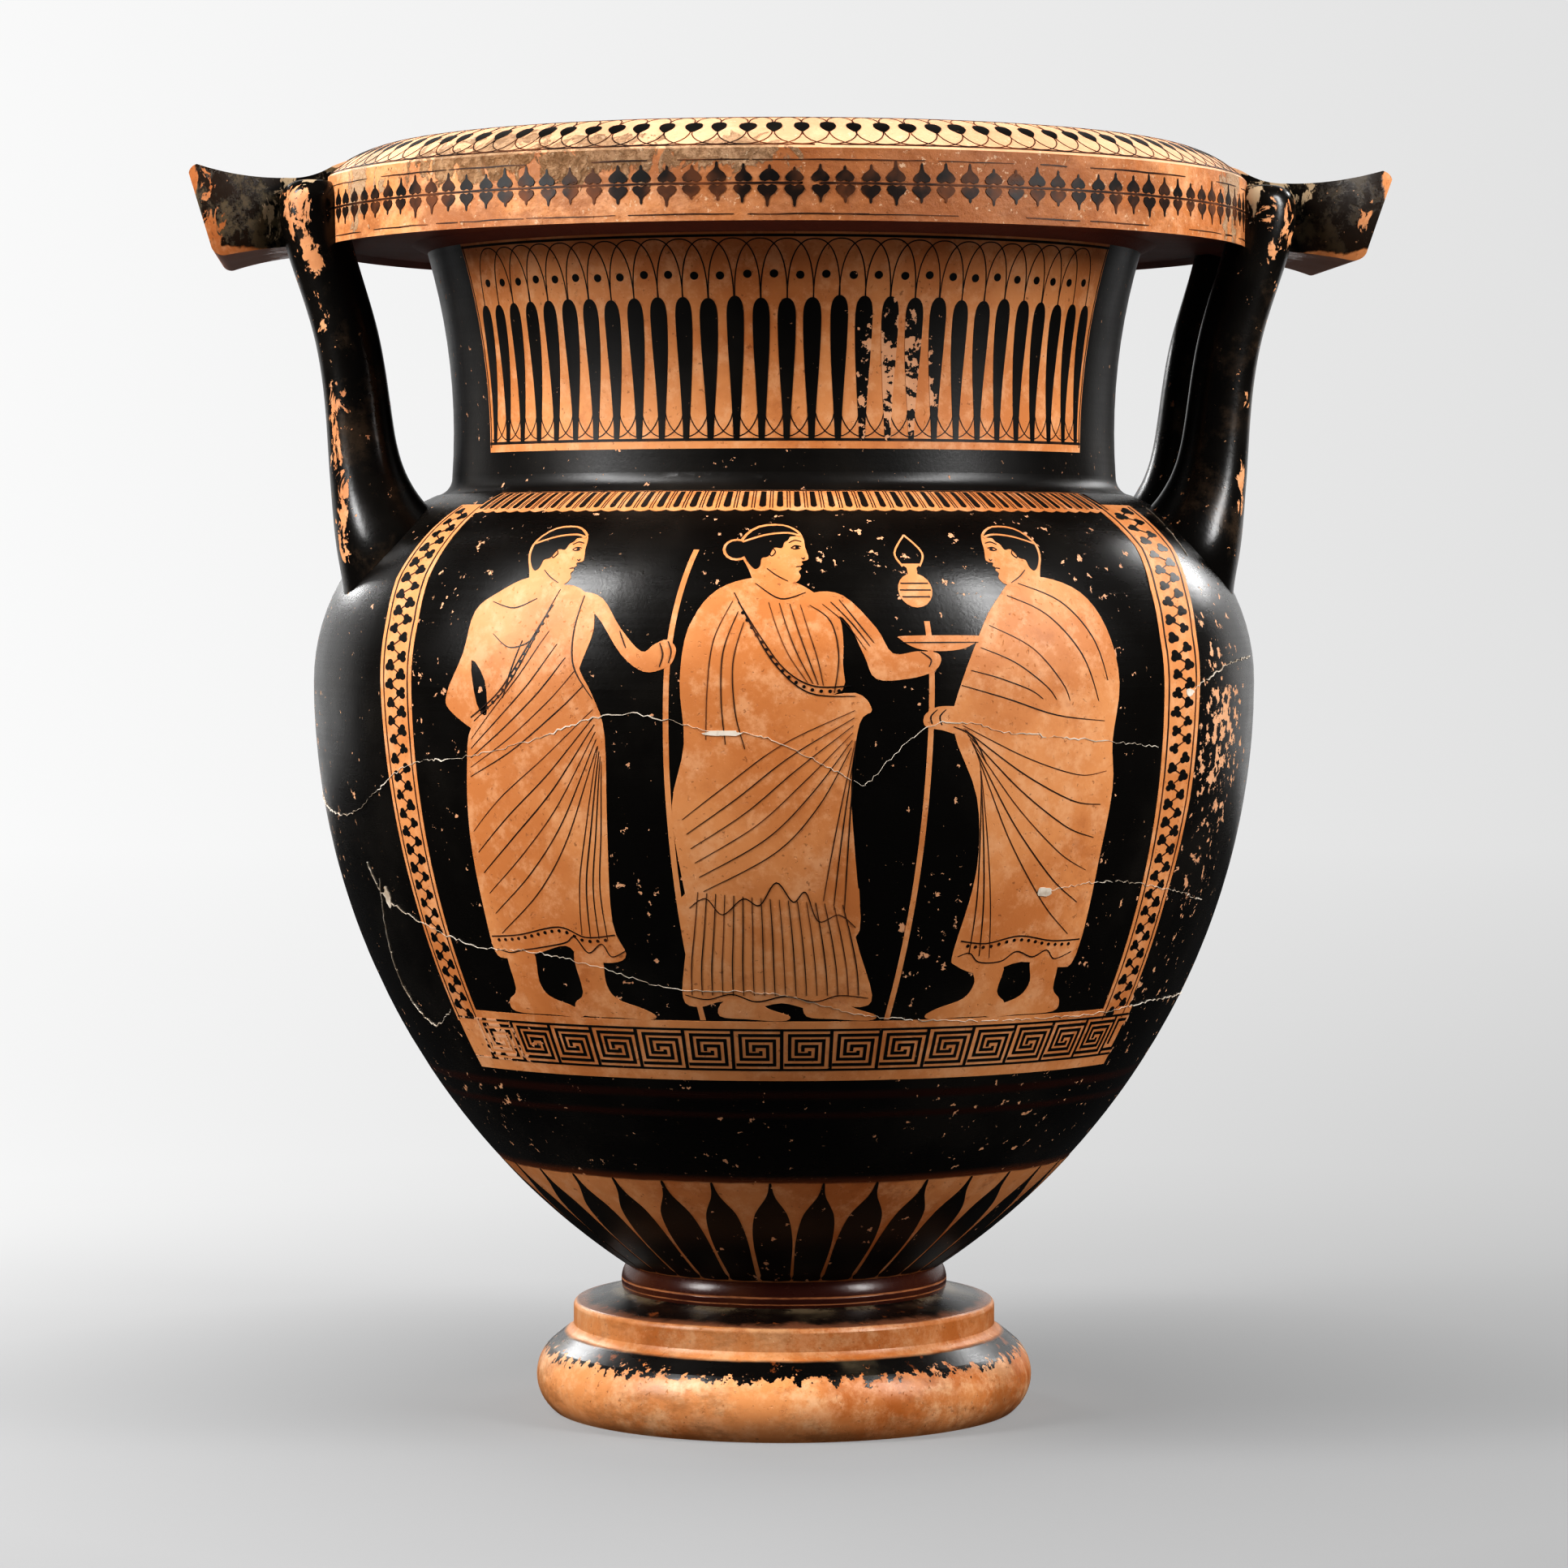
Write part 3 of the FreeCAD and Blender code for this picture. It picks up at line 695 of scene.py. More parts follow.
dress("upper_body", makeGloss("bowlGloss", 0.777, [(127, -78, 240, 30, 50)]))
dress("neck", makeGloss("neckGloss", 0.787, dull=0.1))
dress("lower_body", makeLowerBowl(lowerBowl))
dress("foot", makeFoot(footLook))
dress("foot_fillet", makeFillet(filletLook))
dress("rim", makeRim(rimLook))
for node in handleLook["worn"]:
    dress(node, makeColumn(node, handleLook))
for node in handleLook["abrasion"]:
    dress(node, makePlate(node, handleLook))
print("materials ready")


# The half section's outer line, as stretches that are straight or arcs
def makeStretch(start, end, radius=0.0):
    # a positive radius turns left on the way, a negative one right, and 0 is a straight run
    start, end = Vector(start), Vector(end)
    chord = end - start
    if not radius:
        return {"start": start, "way": chord.normalized(), "radius": 0.0, "length": chord.length}
    side = Vector((-chord.y, chord.x)).normalized() * math.copysign(1, radius)
    centre = (start + end) / 2 + side * math.sqrt(radius**2 - chord.length_squared / 4)
    sweep = 2 * math.asin(chord.length / 2 / abs(radius))
    spoke = start - centre
    return {
        "centre": centre,
        "spoke": math.atan2(spoke.y, spoke.x),
        "radius": radius,
        "length": abs(radius) * sweep,
    }


def walk(line, distance):
    # the point a distance along a line of stretches, and the way out of the surface there
    for number, part in enumerate(line):
        if distance <= part["length"] or number == len(line) - 1:
            break
        distance -= part["length"]
    if not part["radius"]:
        return part["start"] + part["way"] * distance, Vector((part["way"].y, -part["way"].x))
    angle = part["spoke"] + distance / part["radius"]
    out = Vector((math.cos(angle), math.sin(angle)))
    point = part["centre"] + out * abs(part["radius"])
    return point, out if part["radius"] > 0 else -out


def distanceAt(line, level):
    # how far along a rising line it passes a level
    low, high = 0.0, sum(part["length"] for part in line)
    for _ in range(40):
        middle = (low + high) / 2
        if walk(line, middle)[0].y < level:
            low = middle
        else:
            high = middle
    return low


# The outer line of the wall, from the fillet up to the mouth's underside, and of the mouth
bodyLine = [
    makeStretch((50.3, bowlBase), (bellyRadius, bellyLevel), 224.2),
    makeStretch((bellyRadius, bellyLevel), (110.5, neckSeat), 63.8),
    makeStretch((110.5, neckSeat), (105.4, 296.2), -5.8),
    makeStretch((105.4, 296.2), (113.0, 367.0), -200.0),
]
rimLine = [
    makeStretch((rimRadius, 367.8), (rimRadius - 0.3, 388.8)),
    makeStretch((rimRadius - 0.3, 388.8), (128.18, 398.99), 36.0),
    makeStretch((128.18, 398.99), (112.16, rimTop), 90.0),
]
groundLine = distanceAt(bodyLine, 130)  # where the picture's figures stand


def trueFrame(azimuth, start, line=bodyLine):
    # x runs round the vase and y up its wall, both in true millimetres
    turn = math.radians(azimuth)
    return lambda x, y: (turn + x / walk(line, start + y)[0].x, start + y)


def bandFrame(azimuth, start, radius):
    # x keeps its angle at every height, and is true at one radius
    turn = math.radians(azimuth)
    return lambda x, y: (turn + x / radius, start + y)


def between(pairs, value):
    # straight lines between pairs of (where, amount)
    for (low, first), (high, second) in zip(pairs, pairs[1:]):
        if value <= high:
            return first + (second - first) * max(0.0, (value - low) / (high - low))
    return pairs[-1][1]


def turnsLeft(loop):
    return sum(a.x * b.y - b.x * a.y for a, b in zip(loop, loop[1:] + loop[:1])) > 0


def divide(path, spacing, closed=False):
    # adds points where a path's runs are longer than the spacing
    spots = [Vector(spot) for spot in path]
    ends = spots[1:] + spots[:1] if closed else spots[1:]
    dense = []
    for here, there in zip(spots, ends):
        count = max(1, math.ceil((there - here).length / spacing - 0.01))
        dense.extend(here.lerp(there, step / count) for step in range(count))
    return dense if closed else dense + [spots[-1]]


def curveThrough(spots, closed=False, steps=6):
    # a smooth line through a few points
    spots = [Vector(spot) for spot in spots]
    count = len(spots)
    smooth = []
    for number in range(count if closed else count - 1):
        a = spots[number - 1] if closed or number else spots[0]
        b, c = spots[number], spots[(number + 1) % count]
        d = spots[(number + 2) % count] if closed or number < count - 2 else spots[-1]
        bend, twist = a * 2 - b * 5 + c * 4 - d, b * 3 - a - c * 3 + d
        for step in range(steps):
            t = step / steps
            smooth.append(((b * 2) + (c - a) * t + bend * t * t + twist * t**3) / 2)
    return smooth if closed else smooth + [spots[-1]]


def ringOf(x, y, wide, tall, steps):
    turns = [math.tau * step / steps for step in range(steps)]
    return [(x + wide * math.cos(turn), y + tall * math.sin(turn)) for turn in turns]


def swell(middle, reach, start, rise, power, steps):
    # an arch that rises from a start and comes back to it
    arch = []
    for step in range(steps + 1):
        across = math.cos(math.pi * step / steps)
        lift = (1 - abs(across)**power)**(1 / power)
        arch.append((middle - across * reach, start + rise * lift))
    return arch


class Slip:
    # layers of painted slip, each a thin closed sheet bent to the vase, gathered into one mesh
    def __init__(self, line=bodyLine, lift=0.12, sunk=-0.25):
        self.line, self.lift, self.sunk = line, lift, sunk
        self.points, self.outs, self.faces, self.tops = [], [], [], set()

    def point(self, frameOf, x, y, lift):
        # a point on the wall, lifted off it, and the way out there
        azimuth, distance = frameOf(x, y)
        spot, out = walk(self.line, distance)
        radius, level = spot + out * lift
        across, along = math.sin(azimuth), -math.cos(azimuth)
        self.points.append((across * radius * mm, along * radius * mm, level * mm))
        self.outs.append((across * out.x, along * out.x, out.y))
        return len(self.points) - 1

    def cover(self, frameOf, loops, spacing=4.0):
        # fills a closed outline, less any holes after it, in small triangles
        loops = [divide(loop, spacing, True) for loop in loops]
        loops = [loop if turnsLeft(loop) else loop[::-1] for loop in loops]
        flat = [Vector(spot) for loop in loops for spot in loop]
        rings, first = [], 0
        for loop in loops:
            rings.append(list(range(first, first + len(loop))))
            first += len(loop)
        xs, ys = [spot.x for spot in flat], [spot.y for spot in flat]
        edge = list(flat)
        rows = int((max(ys) - min(ys)) / (spacing * 0.87))
        for row in range(1, rows + 1):
            y = min(ys) + row * spacing * 0.87
            x = min(xs) + spacing * (0.5 if row % 2 else 1.0)
            while x < max(xs):
                spot = Vector((x, y))
                if all((spot - other).length_squared > (spacing * 0.45)**2 for other in edge):
                    flat.append(spot)
                x += spacing
        spots, _, triangles, _, _, owners = delaunay_2d_cdt(flat, [], rings, 1, 1e-5)
        triangles = [t for t, owner in zip(triangles, owners) if owner and max(owner) == 0]
        used = sorted({corner for triangle in triangles for corner in triangle})
        top = {corner: self.point(frameOf, *spots[corner], self.lift) for corner in used}
        bottom = {corner: self.point(frameOf, *spots[corner], self.sunk) for corner in used}
        edges = {}
        for a, b, c in triangles:
            self.tops.add(len(self.faces))
            self.faces += [(top[a], top[b], top[c]), (bottom[c], bottom[b], bottom[a])]
            for pair in ((a, b), (b, c), (c, a)):
                edges[pair] = True
        for a, b in edges:
            if (b, a) not in edges:
                self.faces.append((top[b], top[a], bottom[a], bottom[b]))

    def stroke(self, frameOf, path, width, closed=False, taper=0.0):
        # a brushed line of a width, thinning towards its ends by a share
        path = [Vector(spot) for spot in divide(path, 2.5, closed)]
        count = len(path)
        rows = []
        for number, spot in enumerate(path):
            before = path[number - 1] if closed or number else spot
            after = path[(number + 1) % count] if closed or number < count - 1 else spot
            inward, onward = (spot - before), (after - spot)
            inward = inward.normalized() if inward.length else onward.normalized()
            onward = onward.normalized() if onward.length else inward
            along = (inward + onward).normalized() if (inward + onward).length > 0.1 else onward
            side = Vector((-along.y, along.x))
            stretch = min(1.5, 1 / max(0.4, along.dot(onward)))
            ease = 1 - taper * (1 - math.sin(math.pi * (number + 0.3) / (count - 0.4)))
            reach = side * width / 2 * stretch * max(0.15, ease)
            corners = [(reach, self.sunk), (reach, self.lift), (-reach, self.lift), (-reach, self.sunk)]
            rows.append([self.point(frameOf, *(spot + away), lift) for away, lift in corners])
        for here, there in zip(rows, rows[1:] + (rows[:1] if closed else [])):
            for corner in range(4):
                if corner == 1:
                    self.tops.add(len(self.faces))
                other = (corner + 1) % 4
                self.faces.append((here[corner], here[other], there[other], there[corner]))
        if not closed:
            self.faces += [tuple(reversed(rows[0])), tuple(rows[-1])]

    def straight(self, frameOf, x, y, toX, toY, width):
        self.stroke(frameOf, [(x, y), (toX, toY)], width)

    def finish(self, name, material, slot="black_gloss"):
        piece = addMesh(name, self.points, self.faces)
        mesh = piece.data
        mesh.shade_smooth()
        normals = []
        for number, face in enumerate(mesh.polygons):
            if number in self.tops:
                normals.extend(self.outs[corner] for corner in face.vertices)
            else:
                normals.extend([tuple(face.normal)] * len(face.vertices))
        mesh.normals_split_custom_set(normals)
        mesh.materials.append(material)
        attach(piece, "root")
        print(name, len(self.faces), "faces")


def over(lift=0.2, line=bodyLine):
    # slip laid on a clay strip and not on the vase itself
    return Slip(line, lift, -0.15)


blackSlip = makeGloss("blackSlip", 0.86, dull=0.12)
reservedClay = makeClay("reservedClay")
brownLine = makeLine("brownLine", (0.030, 0.012, 0.007), 0.8)
blackLine = makeLine("blackLine", (0.006, 0.0045, 0.004), 0.35)
brush = random.Random(41)  # the hand's small errors


def about(reach):
    return brush.uniform(-reach, reach)


# The picture's frame: two strips of dots, left in the clay
borderSettings = {
    "rise": 5.6,  # from one pair of dots to the next
    "columns": (0.33, 0.67),  # where the dots stand, as shares of the breadth
    "dot": 1.5,
    "lobes": 0.4,
    "line": 0.4,
    "joined": 0.93,  # the share of dots that a line joins
    "edgeLine": 0.42,
    "edgeInset": 1.5,
    "breadth": 12.5,  # the strip's own millimetres across, which its real width stretches
    "top": 172.0,
    # inner edge's azimuth and real width, by height above the ground line
    "left": (
        [(0, -51.4), (126, -52.6), (141, -53.7), (172, -54.2)],
        [(0, 11.6), (40, 12.9), (106, 16.4), (140, 18), (160, 15.5), (172, 13)],
        -1,
    ),
    "right": (
        [(0, 45.7), (122, 45.7), (136, 46.7), (151, 48.8), (172, 48.2)],
        [(0, 14), (40, 15.2), (72, 18.6), (122, 21), (150, 24), (172, 25)],
        1,
    ),
}


def borderFrame(inner, widths, side, breadth):
    # x runs outwards from the strip's inner edge, y up the wall from the ground line
    def place(x, y):
        radius = walk(bodyLine, groundLine + y)[0].x
        turn = math.radians(between(inner, y)) + side * abs(x) * between(widths, y) / breadth / radius
        return turn, groundLine + y
    return place


def dotOutline(x, y, size, lobes=0.0, turn=0.0):
    # a round dot, or a three-lobed one
    outline = []
    for step in range(18):
        angle = math.tau * step / 18
        reach = size * (1 - lobes + lobes * 1.5 * abs(math.cos(1.5 * (angle - turn)))**0.7)
        outline.append((x + reach * math.cos(angle), y + reach * math.sin(angle)))
    return outline


def paintBorder(look, name, strip, dots, lines, turned):
    inner, widths, side = look[name]
    inner = [(where, azimuth + turned) for where, azimuth in inner]
    breadth, top = look["breadth"], look["top"]
    frameOf = borderFrame(inner, widths, side, breadth)
    # x is given as it is seen, to the right, so the left strip's own run from -breadth to 0
    edge = [(0, 0), (0, top), (side * breadth, top), (side * breadth, 0)]
    strip.cover(frameOf, [edge[::-1] if side > 0 else edge])
    for inset in (look["edgeInset"], breadth - look["edgeInset"]):
        lines.straight(frameOf, side * inset, 0.6, side * inset, top - 1, look["edgeLine"])
    spots = []
    y = 3.0
    while y < top - 3:
        for number, share in enumerate(look["columns"]):
            spots.append((side * share * breadth + about(0.25), y + number * look["rise"] / 2 + about(0.2)))
        y += look["rise"]
    for here, there in zip(spots, spots[1:]):
        if brush.random() < look["joined"]:
            lines.straight(frameOf, *here, *there, look["line"])
    for x, y in spots:
        size = look["dot"] * brush.uniform(0.9, 1.12)
        dots.cover(frameOf, [dotOutline(x, y, size, look["lobes"], about(0.5) + 1.57)])


# The meander between two plain strips, which the figures stand on
meanderSettings = {
    "top": 4.4,
    "upperLine": 1.5,
    "lowerLine": -12.6,
    "bottom": -16.7,
    "edgeLine": 0.7,
    "radius": 121.5,
    "pitch": 14.4,
    "line": 0.98,
    "left": -56.4,
    "right": 53.2,
    "azimuth": -4.4,  # a unit's left edge stands here
    # one unit, in shares of its width and height: two arms that wind into each other
    "arms": [
        [(1.0, 0.87), (0.16, 0.87), (0.16, 0.27), (0.71, 0.27), (0.71, 0.6), (0.43, 0.6), (0.43, 0.47)],
        [(0.05, 0.13), (0.85, 0.13), (0.85, 0.74), (0.295, 0.74), (0.295, 0.4), (0.57, 0.4), (0.57, 0.48)],
    ],
}


def paintMeander(look, strip, lines, turned):
    frameOf = bandFrame(look["azimuth"] + turned, groundLine, look["radius"])
    left, right = (math.radians(look[side] - look["azimuth"]) * look["radius"] for side in ("left", "right"))
    low, high, pitch = look["bottom"], look["top"], look["pitch"]
    strip.cover(frameOf, [[(left, low), (right, low), (right, high), (left, high)]])
    low, high = look["lowerLine"], look["upperLine"]
    for level in (high, low):
        lines.straight(frameOf, left + 0.3, level, right - 0.3, level, look["edgeLine"])
    unit = math.floor(left / pitch) + 1
    while unit * pitch < right - 3:
        x = unit * pitch
        lines.straight(frameOf, x + about(0.2), low, x, high, look["line"])
        for arm in look["arms"]:
            path = [(x + u * pitch, low + v * (high - low)) for u, v in arm]
            if x + pitch > right:
                path = [(min(u, right - 0.5), v) for u, v in path[:3]]
            lines.stroke(frameOf, path, look["line"])
        unit += 1


# Tongues on the shoulder, against the neck
tongueSettings = {
    "inner": 180.0,  # height up the wall from the ground line, at the neck's seat
    "outer": 168.0,
    "scallop": 0.9,
    "pitch": 4.9,
    "radius": 114.0,
    "core": 1.9,
    "edgeLine": 0.4,
    "pairLine": 0.26,  # two fine lines part the tongues
    "pairGap": 0.38,
    "left": -54.6,
    "right": 50.0,
}


def paintTongues(look, strip, cores, lines, turned):
    frameOf = bandFrame((look["left"] + look["right"]) / 2 + turned, groundLine, look["radius"])
    half = math.radians(look["right"] - look["left"]) / 2 * look["radius"]
    inner, outer, pitch = look["inner"], look["outer"], look["pitch"]
    count = int(half / pitch)
    # the strip's outer edge is a row of scallops
    outline = [(half, inner), (-half, inner)]
    for number in range(-count, count + 1):
        for share in (-0.48, -0.25, 0.0, 0.25, 0.48):
            outline.append(((number + share) * pitch, outer - look["scallop"] * math.cos(share * math.pi)))
    strip.cover(frameOf, [outline], 3.0)
    lines.straight(frameOf, -half, inner - 0.5, half, inner - 0.5, look["edgeLine"])
    low, high = outer + 1.2, inner - 1.2
    for number in range(-count, count + 1):
        x = number * pitch + about(0.25)
        wide = look["core"] * brush.uniform(0.85, 1.1) / 2
        core = [(x + wide * 0.8, high), (x - wide * 0.8, high), (x - wide, low + wide)]
        core += [(x - wide * 0.7, low + 0.3), (x, low), (x + wide * 0.7, low + 0.3), (x + wide, low + wide)]
        cores.cover(frameOf, [core])
        for shift in (-look["pairGap"], look["pairGap"]):
            edge = x + pitch / 2 + shift
            lines.straight(frameOf, edge, outer + 0.8, edge, inner - 0.8, look["pairLine"])


# The bud chain on the neck: heights, then the panel's half angle at its bottom and top
neckSettings = {
    "azimuth": -3.65,
    "radius": 106.0,
    "pitch": 7.66,
    "buds": 29,
    "bottom": 303.1,
    "bottomLine": 305.8,
    "budTop": 348.0,
    "dots": 354.5,
    "peak": 365.1,
    "topLine": 365.9,
    "top": 367.0,
    "halfAngles": (59.6, 62.0),
    # a bud's right side, by height: a share of the whole, and how wide, with a share of its fattest
    "stem": [(0.8, 0), (1.0, 0.08), (1.4, 0.24)],
    "bud": [(0.76, 0.46), (0.93, 0.64), (1.0, 0.82), (0.97, 0.9), (0.8, 0.958), (0.42, 0.992)],
    "arch": 0.32,
    "bowl": 0.3,
    "bowlDepth": 11.0,
    # the buds are chipped round these spots
    "crowded": [
        (20, -104, 337, 20, 38), (31, -101, 326, 20, 34), (26, -103, 312, 20, 20), (27, -103, 322, 26, 50),
    ],
}


def paintNeck(look, strip, buds, lines):
    start = distanceAt(bodyLine, look["bottom"])
    frameOf = bandFrame(look["azimuth"], start, look["radius"])
    names = ("bottomLine", "budTop", "dots", "peak", "topLine", "top")
    foot, budTop, dotLevel, peak, topLine, top = (distanceAt(bodyLine, look[name]) - start for name in names)
    low, high = (math.radians(angle) * look["radius"] for angle in look["halfAngles"])
    strip.cover(frameOf, [[(-low, 0), (low, 0), (high, top), (-high, top)]])
    lines.straight(frameOf, -low, foot, low, foot, 0.8)
    lines.straight(frameOf, -high, topLine, high, topLine, 0.75)
    for side in (-1, 1):
        lines.straight(frameOf, side * (low - 0.7), 1.5, side * (high - 0.8), top - 0.6, 0.4)
    pitch, half = look["pitch"], look["buds"] // 2
    for number in range(-half, half + 1):
        x = number * pitch + about(0.2)
        wide = brush.uniform(2.5, 2.8)
        tip = budTop + about(0.5)
        right = look["stem"] + [(wide * u, v) for u, v in look["bud"]]
        outline = [(x + u, foot + v * (tip - foot)) for u, v in right] + [(x, tip)]
        outline += [(x - u, foot + v * (tip - foot)) for u, v in reversed(right)]
        buds.cover(frameOf, [curveThrough(outline, True, 2)])
        if number < half:
            buds.cover(frameOf, [dotOutline(x + pitch / 2, dotLevel + about(0.3), 1.2)])
    for number in range(-half, half - 1):
        middle = (number + 1) * pitch + about(0.2)
        rise = peak - budTop + 0.8 + brush.uniform(-0.3, 0.0)
        lines.stroke(frameOf, swell(middle, pitch, budTop - 0.8, rise, 2.4, 24), look["arch"])
    for number in range(-half, half + 1):
        bowl = []
        for step in range(17):
            across = -0.97 + 1.94 * step / 16
            depth = look["bowlDepth"] * (1 - math.sqrt(1 - across**2))
            bowl.append((number * pitch + across * 0.95 * pitch, foot + 0.9 + depth))
        if abs(number) == half:
            bowl = [spot for spot in bowl if abs(spot[0]) < low - 1]
        lines.stroke(frameOf, bowl, look["bowl"])


borderStrip, borderDots, borderLines = Slip(), over(), over(0.19)
groundStrip, groundLines = Slip(lift=0.14), over(0.21)
tongueStrip, tongueCores, tongueLines = Slip(lift=0.13), over(0.22), over()
for turned in (0.0, 180.0):
    for side in ("left", "right"):
        paintBorder(borderSettings, side, borderStrip, borderDots, borderLines, turned)
    paintMeander(meanderSettings, groundStrip, groundLines, turned)
    paintTongues(tongueSettings, tongueStrip, tongueCores, tongueLines, turned)
borderStrip.finish("panelBorders", reservedClay, "orange_clay")
borderDots.finish("borderDots", blackSlip)
borderLines.finish("borderLines", brownLine)
groundStrip.finish("groundStrip", reservedClay, "orange_clay")
groundLines.finish("meander", makeGloss("meanderSlip", 0.86, [(-96, -76, 122, 34, 30)] * 3, 0.12))
tongueStrip.finish("shoulderStrip", reservedClay, "orange_clay")
tongueCores.finish("shoulderTongues", blackSlip)
tongueLines.finish("tongueLines", brownLine)

neckStrip, neckBuds, neckLines = Slip(), over(0.22), over(0.19)
paintNeck(neckSettings, neckStrip, neckBuds, neckLines)
neckStrip.finish("neckPanel", reservedClay, "orange_clay")
neckBuds.finish("neckBuds", makeGloss("neckSlip", 0.85, neckSettings["crowded"], 0.12))
neckLines.finish("neckLines", blackLine)
print("panel frame and neck chain painted")


# Figures: clay shapes left in the black, with lines drawn on them. All face right as given here,
# x forward and y above the ground strip, and a mirrored one has its x turned round.
figureSettings = {
    "broad": 1.22,  # how much wider than drawn
    "foot": 4.2,  # height of the ground strip's top
    "lift": 0.12,  # a shape lies a little higher than the one before it
    "shapeLift": 0.006,
    "headLift": 0.11,
    "bandLift": 0.27,
    "relief": 0.34,  # widths of lines
    "fold": 0.288,
    "face": 0.276,
    "thin": 0.24,
    "staff": 1.7,
    "bandWidth": 0.75,
    "band": [(7.9, 16.8), (4.2, 18.0), (-2.0, 17.2), (-8.8, 14.4)],
    "pupil": (7.1, 12.3, 0.5),
    "bunEdge": 0.9,
    "hemPitch": 2.6,
    "hemDrop": 1.2,
    "hemDot": 0.5,
}


def bareFoot(x, start, end, longer=0):
    # from the back of the ankle, round the toes, to its front
    toes = [(x + 9, 0.6), (x + 16, 0.2), (x + 18, 1.6), (x + 15, 4), (x + 9, 7), (x + 7, 12)]
    return [start, (x, 9), (x - 3, 5), (x - 2, 1)] + [(u + longer, v) for u, v in toes] + [end]


headOutline = [
    (1.6, -9), (2.3, -1.8), (5.0, -0.9), (7.4, 0.2), (8.3, 2.0), (7.7, 3.5), (8.5, 4.5), (8.1, 5.3),
    (8.9, 6.1), (8.5, 7.1), (10.5, 8.0), (9.5, 12.2), (8.9, 15.8), (7.2, 19.2), (2.6, 21.9), (-4.4, 21.2),
    (-9.3, 15.8), (-9.5, 10.2), (-6.9, 4.2), (-5.6, -1), (-6.4, -9),
]
hairOutline = [
    (7.3, 17.8), (3.0, 21.0), (-4.0, 20.3), (-8.4, 15.4), (-8.6, 10.4), (-6.9, 6.4), (-5.0, 4.4),
    (-3.6, 5.6), (-3.2, 8.2), (-1.2, 9.0), (0.4, 12.2), (2.6, 12.0), (3.3, 14.2), (4.4, 15.2), (5.0, 16.6),
    (6.4, 16.8),
]
headLines = [
    [(5.3, 12.0), (6.5, 12.9), (8.2, 12.6)],
    [(5.3, 12.0), (6.6, 11.6), (7.9, 11.9)],
    [(4.6, 14.0), (6.3, 15.0), (8.3, 14.5)],
    [(8.4, 8.3), (9.0, 7.9), (9.3, 8.5)],
    [(8.2, 5.3), (6.9, 5.1)],
    [(-1.6, 4.6), (1.2, 2.2), (4.6, 0.2)],
    [(-1.4, 11.2), (-0.4, 9.0), (0.8, 10.4), (0.2, 11.8)],
]
mantledYouth = {
    "shapes": [
        [
            (-5, 136), (-15, 131), (-21, 120), (-24, 103), (-22, 86), (-23, 72), (-21, 50), (-19, 20),
            (-14, 16), (-2, 18.5), (8, 15), (16, 18), (17.5, 23), (15, 48), (17, 70), (24, 90), (22, 104),
            (15, 121), (9, 130), (4, 135),
        ],
        bareFoot(-14, (-13, 19), (-5, 19), 1),
        bareFoot(3, (3, 18), (11, 18)),
        [(21, 96), (25, 97), (29, 96.5), (31.5, 94), (31, 91), (27, 90), (22, 89)],
    ],
    "staff": [(30.5, 0.5), (30.0, 60), (29.4, 122)],
    "head": (1, 134),
    "relief": [
        [(7, 130), (-3, 124), (-12, 112), (-17, 98)],
        [(3, 134), (-8, 128), (-16, 117), (-20, 104)],
        [(22, 103), (10, 99), (-4, 94), (-19, 92)],
        [(24, 91), (19, 88), (15, 80)],
        [(-17, 21), (-12, 19), (-9, 22), (-5, 20), (0, 22), (4, 19), (10, 19), (13, 22), (16, 21)],
        [(26, 96), (27.5, 94), (27, 91.5)],
        [(28.2, 96), (29.8, 94), (29.4, 91.8)],
    ],
    "fans": [
        ([(12, 124), (0, 116), (-8, 104), (-10, 98)], [(21, 104), (15, 103), (6, 101), (2, 99)], 3),
        ([(22, 92), (4, 84), (-12, 80), (-21, 82)], [(18, 84), (8, 56), (-4, 34), (-14, 22)], 6),
        ([(17, 82), (13, 60), (9, 38), (6, 20)], [(16, 74), (15.4, 56), (14.6, 38), (14.6, 22)], 3),
    ],
    "hems": [[(-19, 25), (-10, 25), (0, 27), (9, 25), (16, 26)]],
}
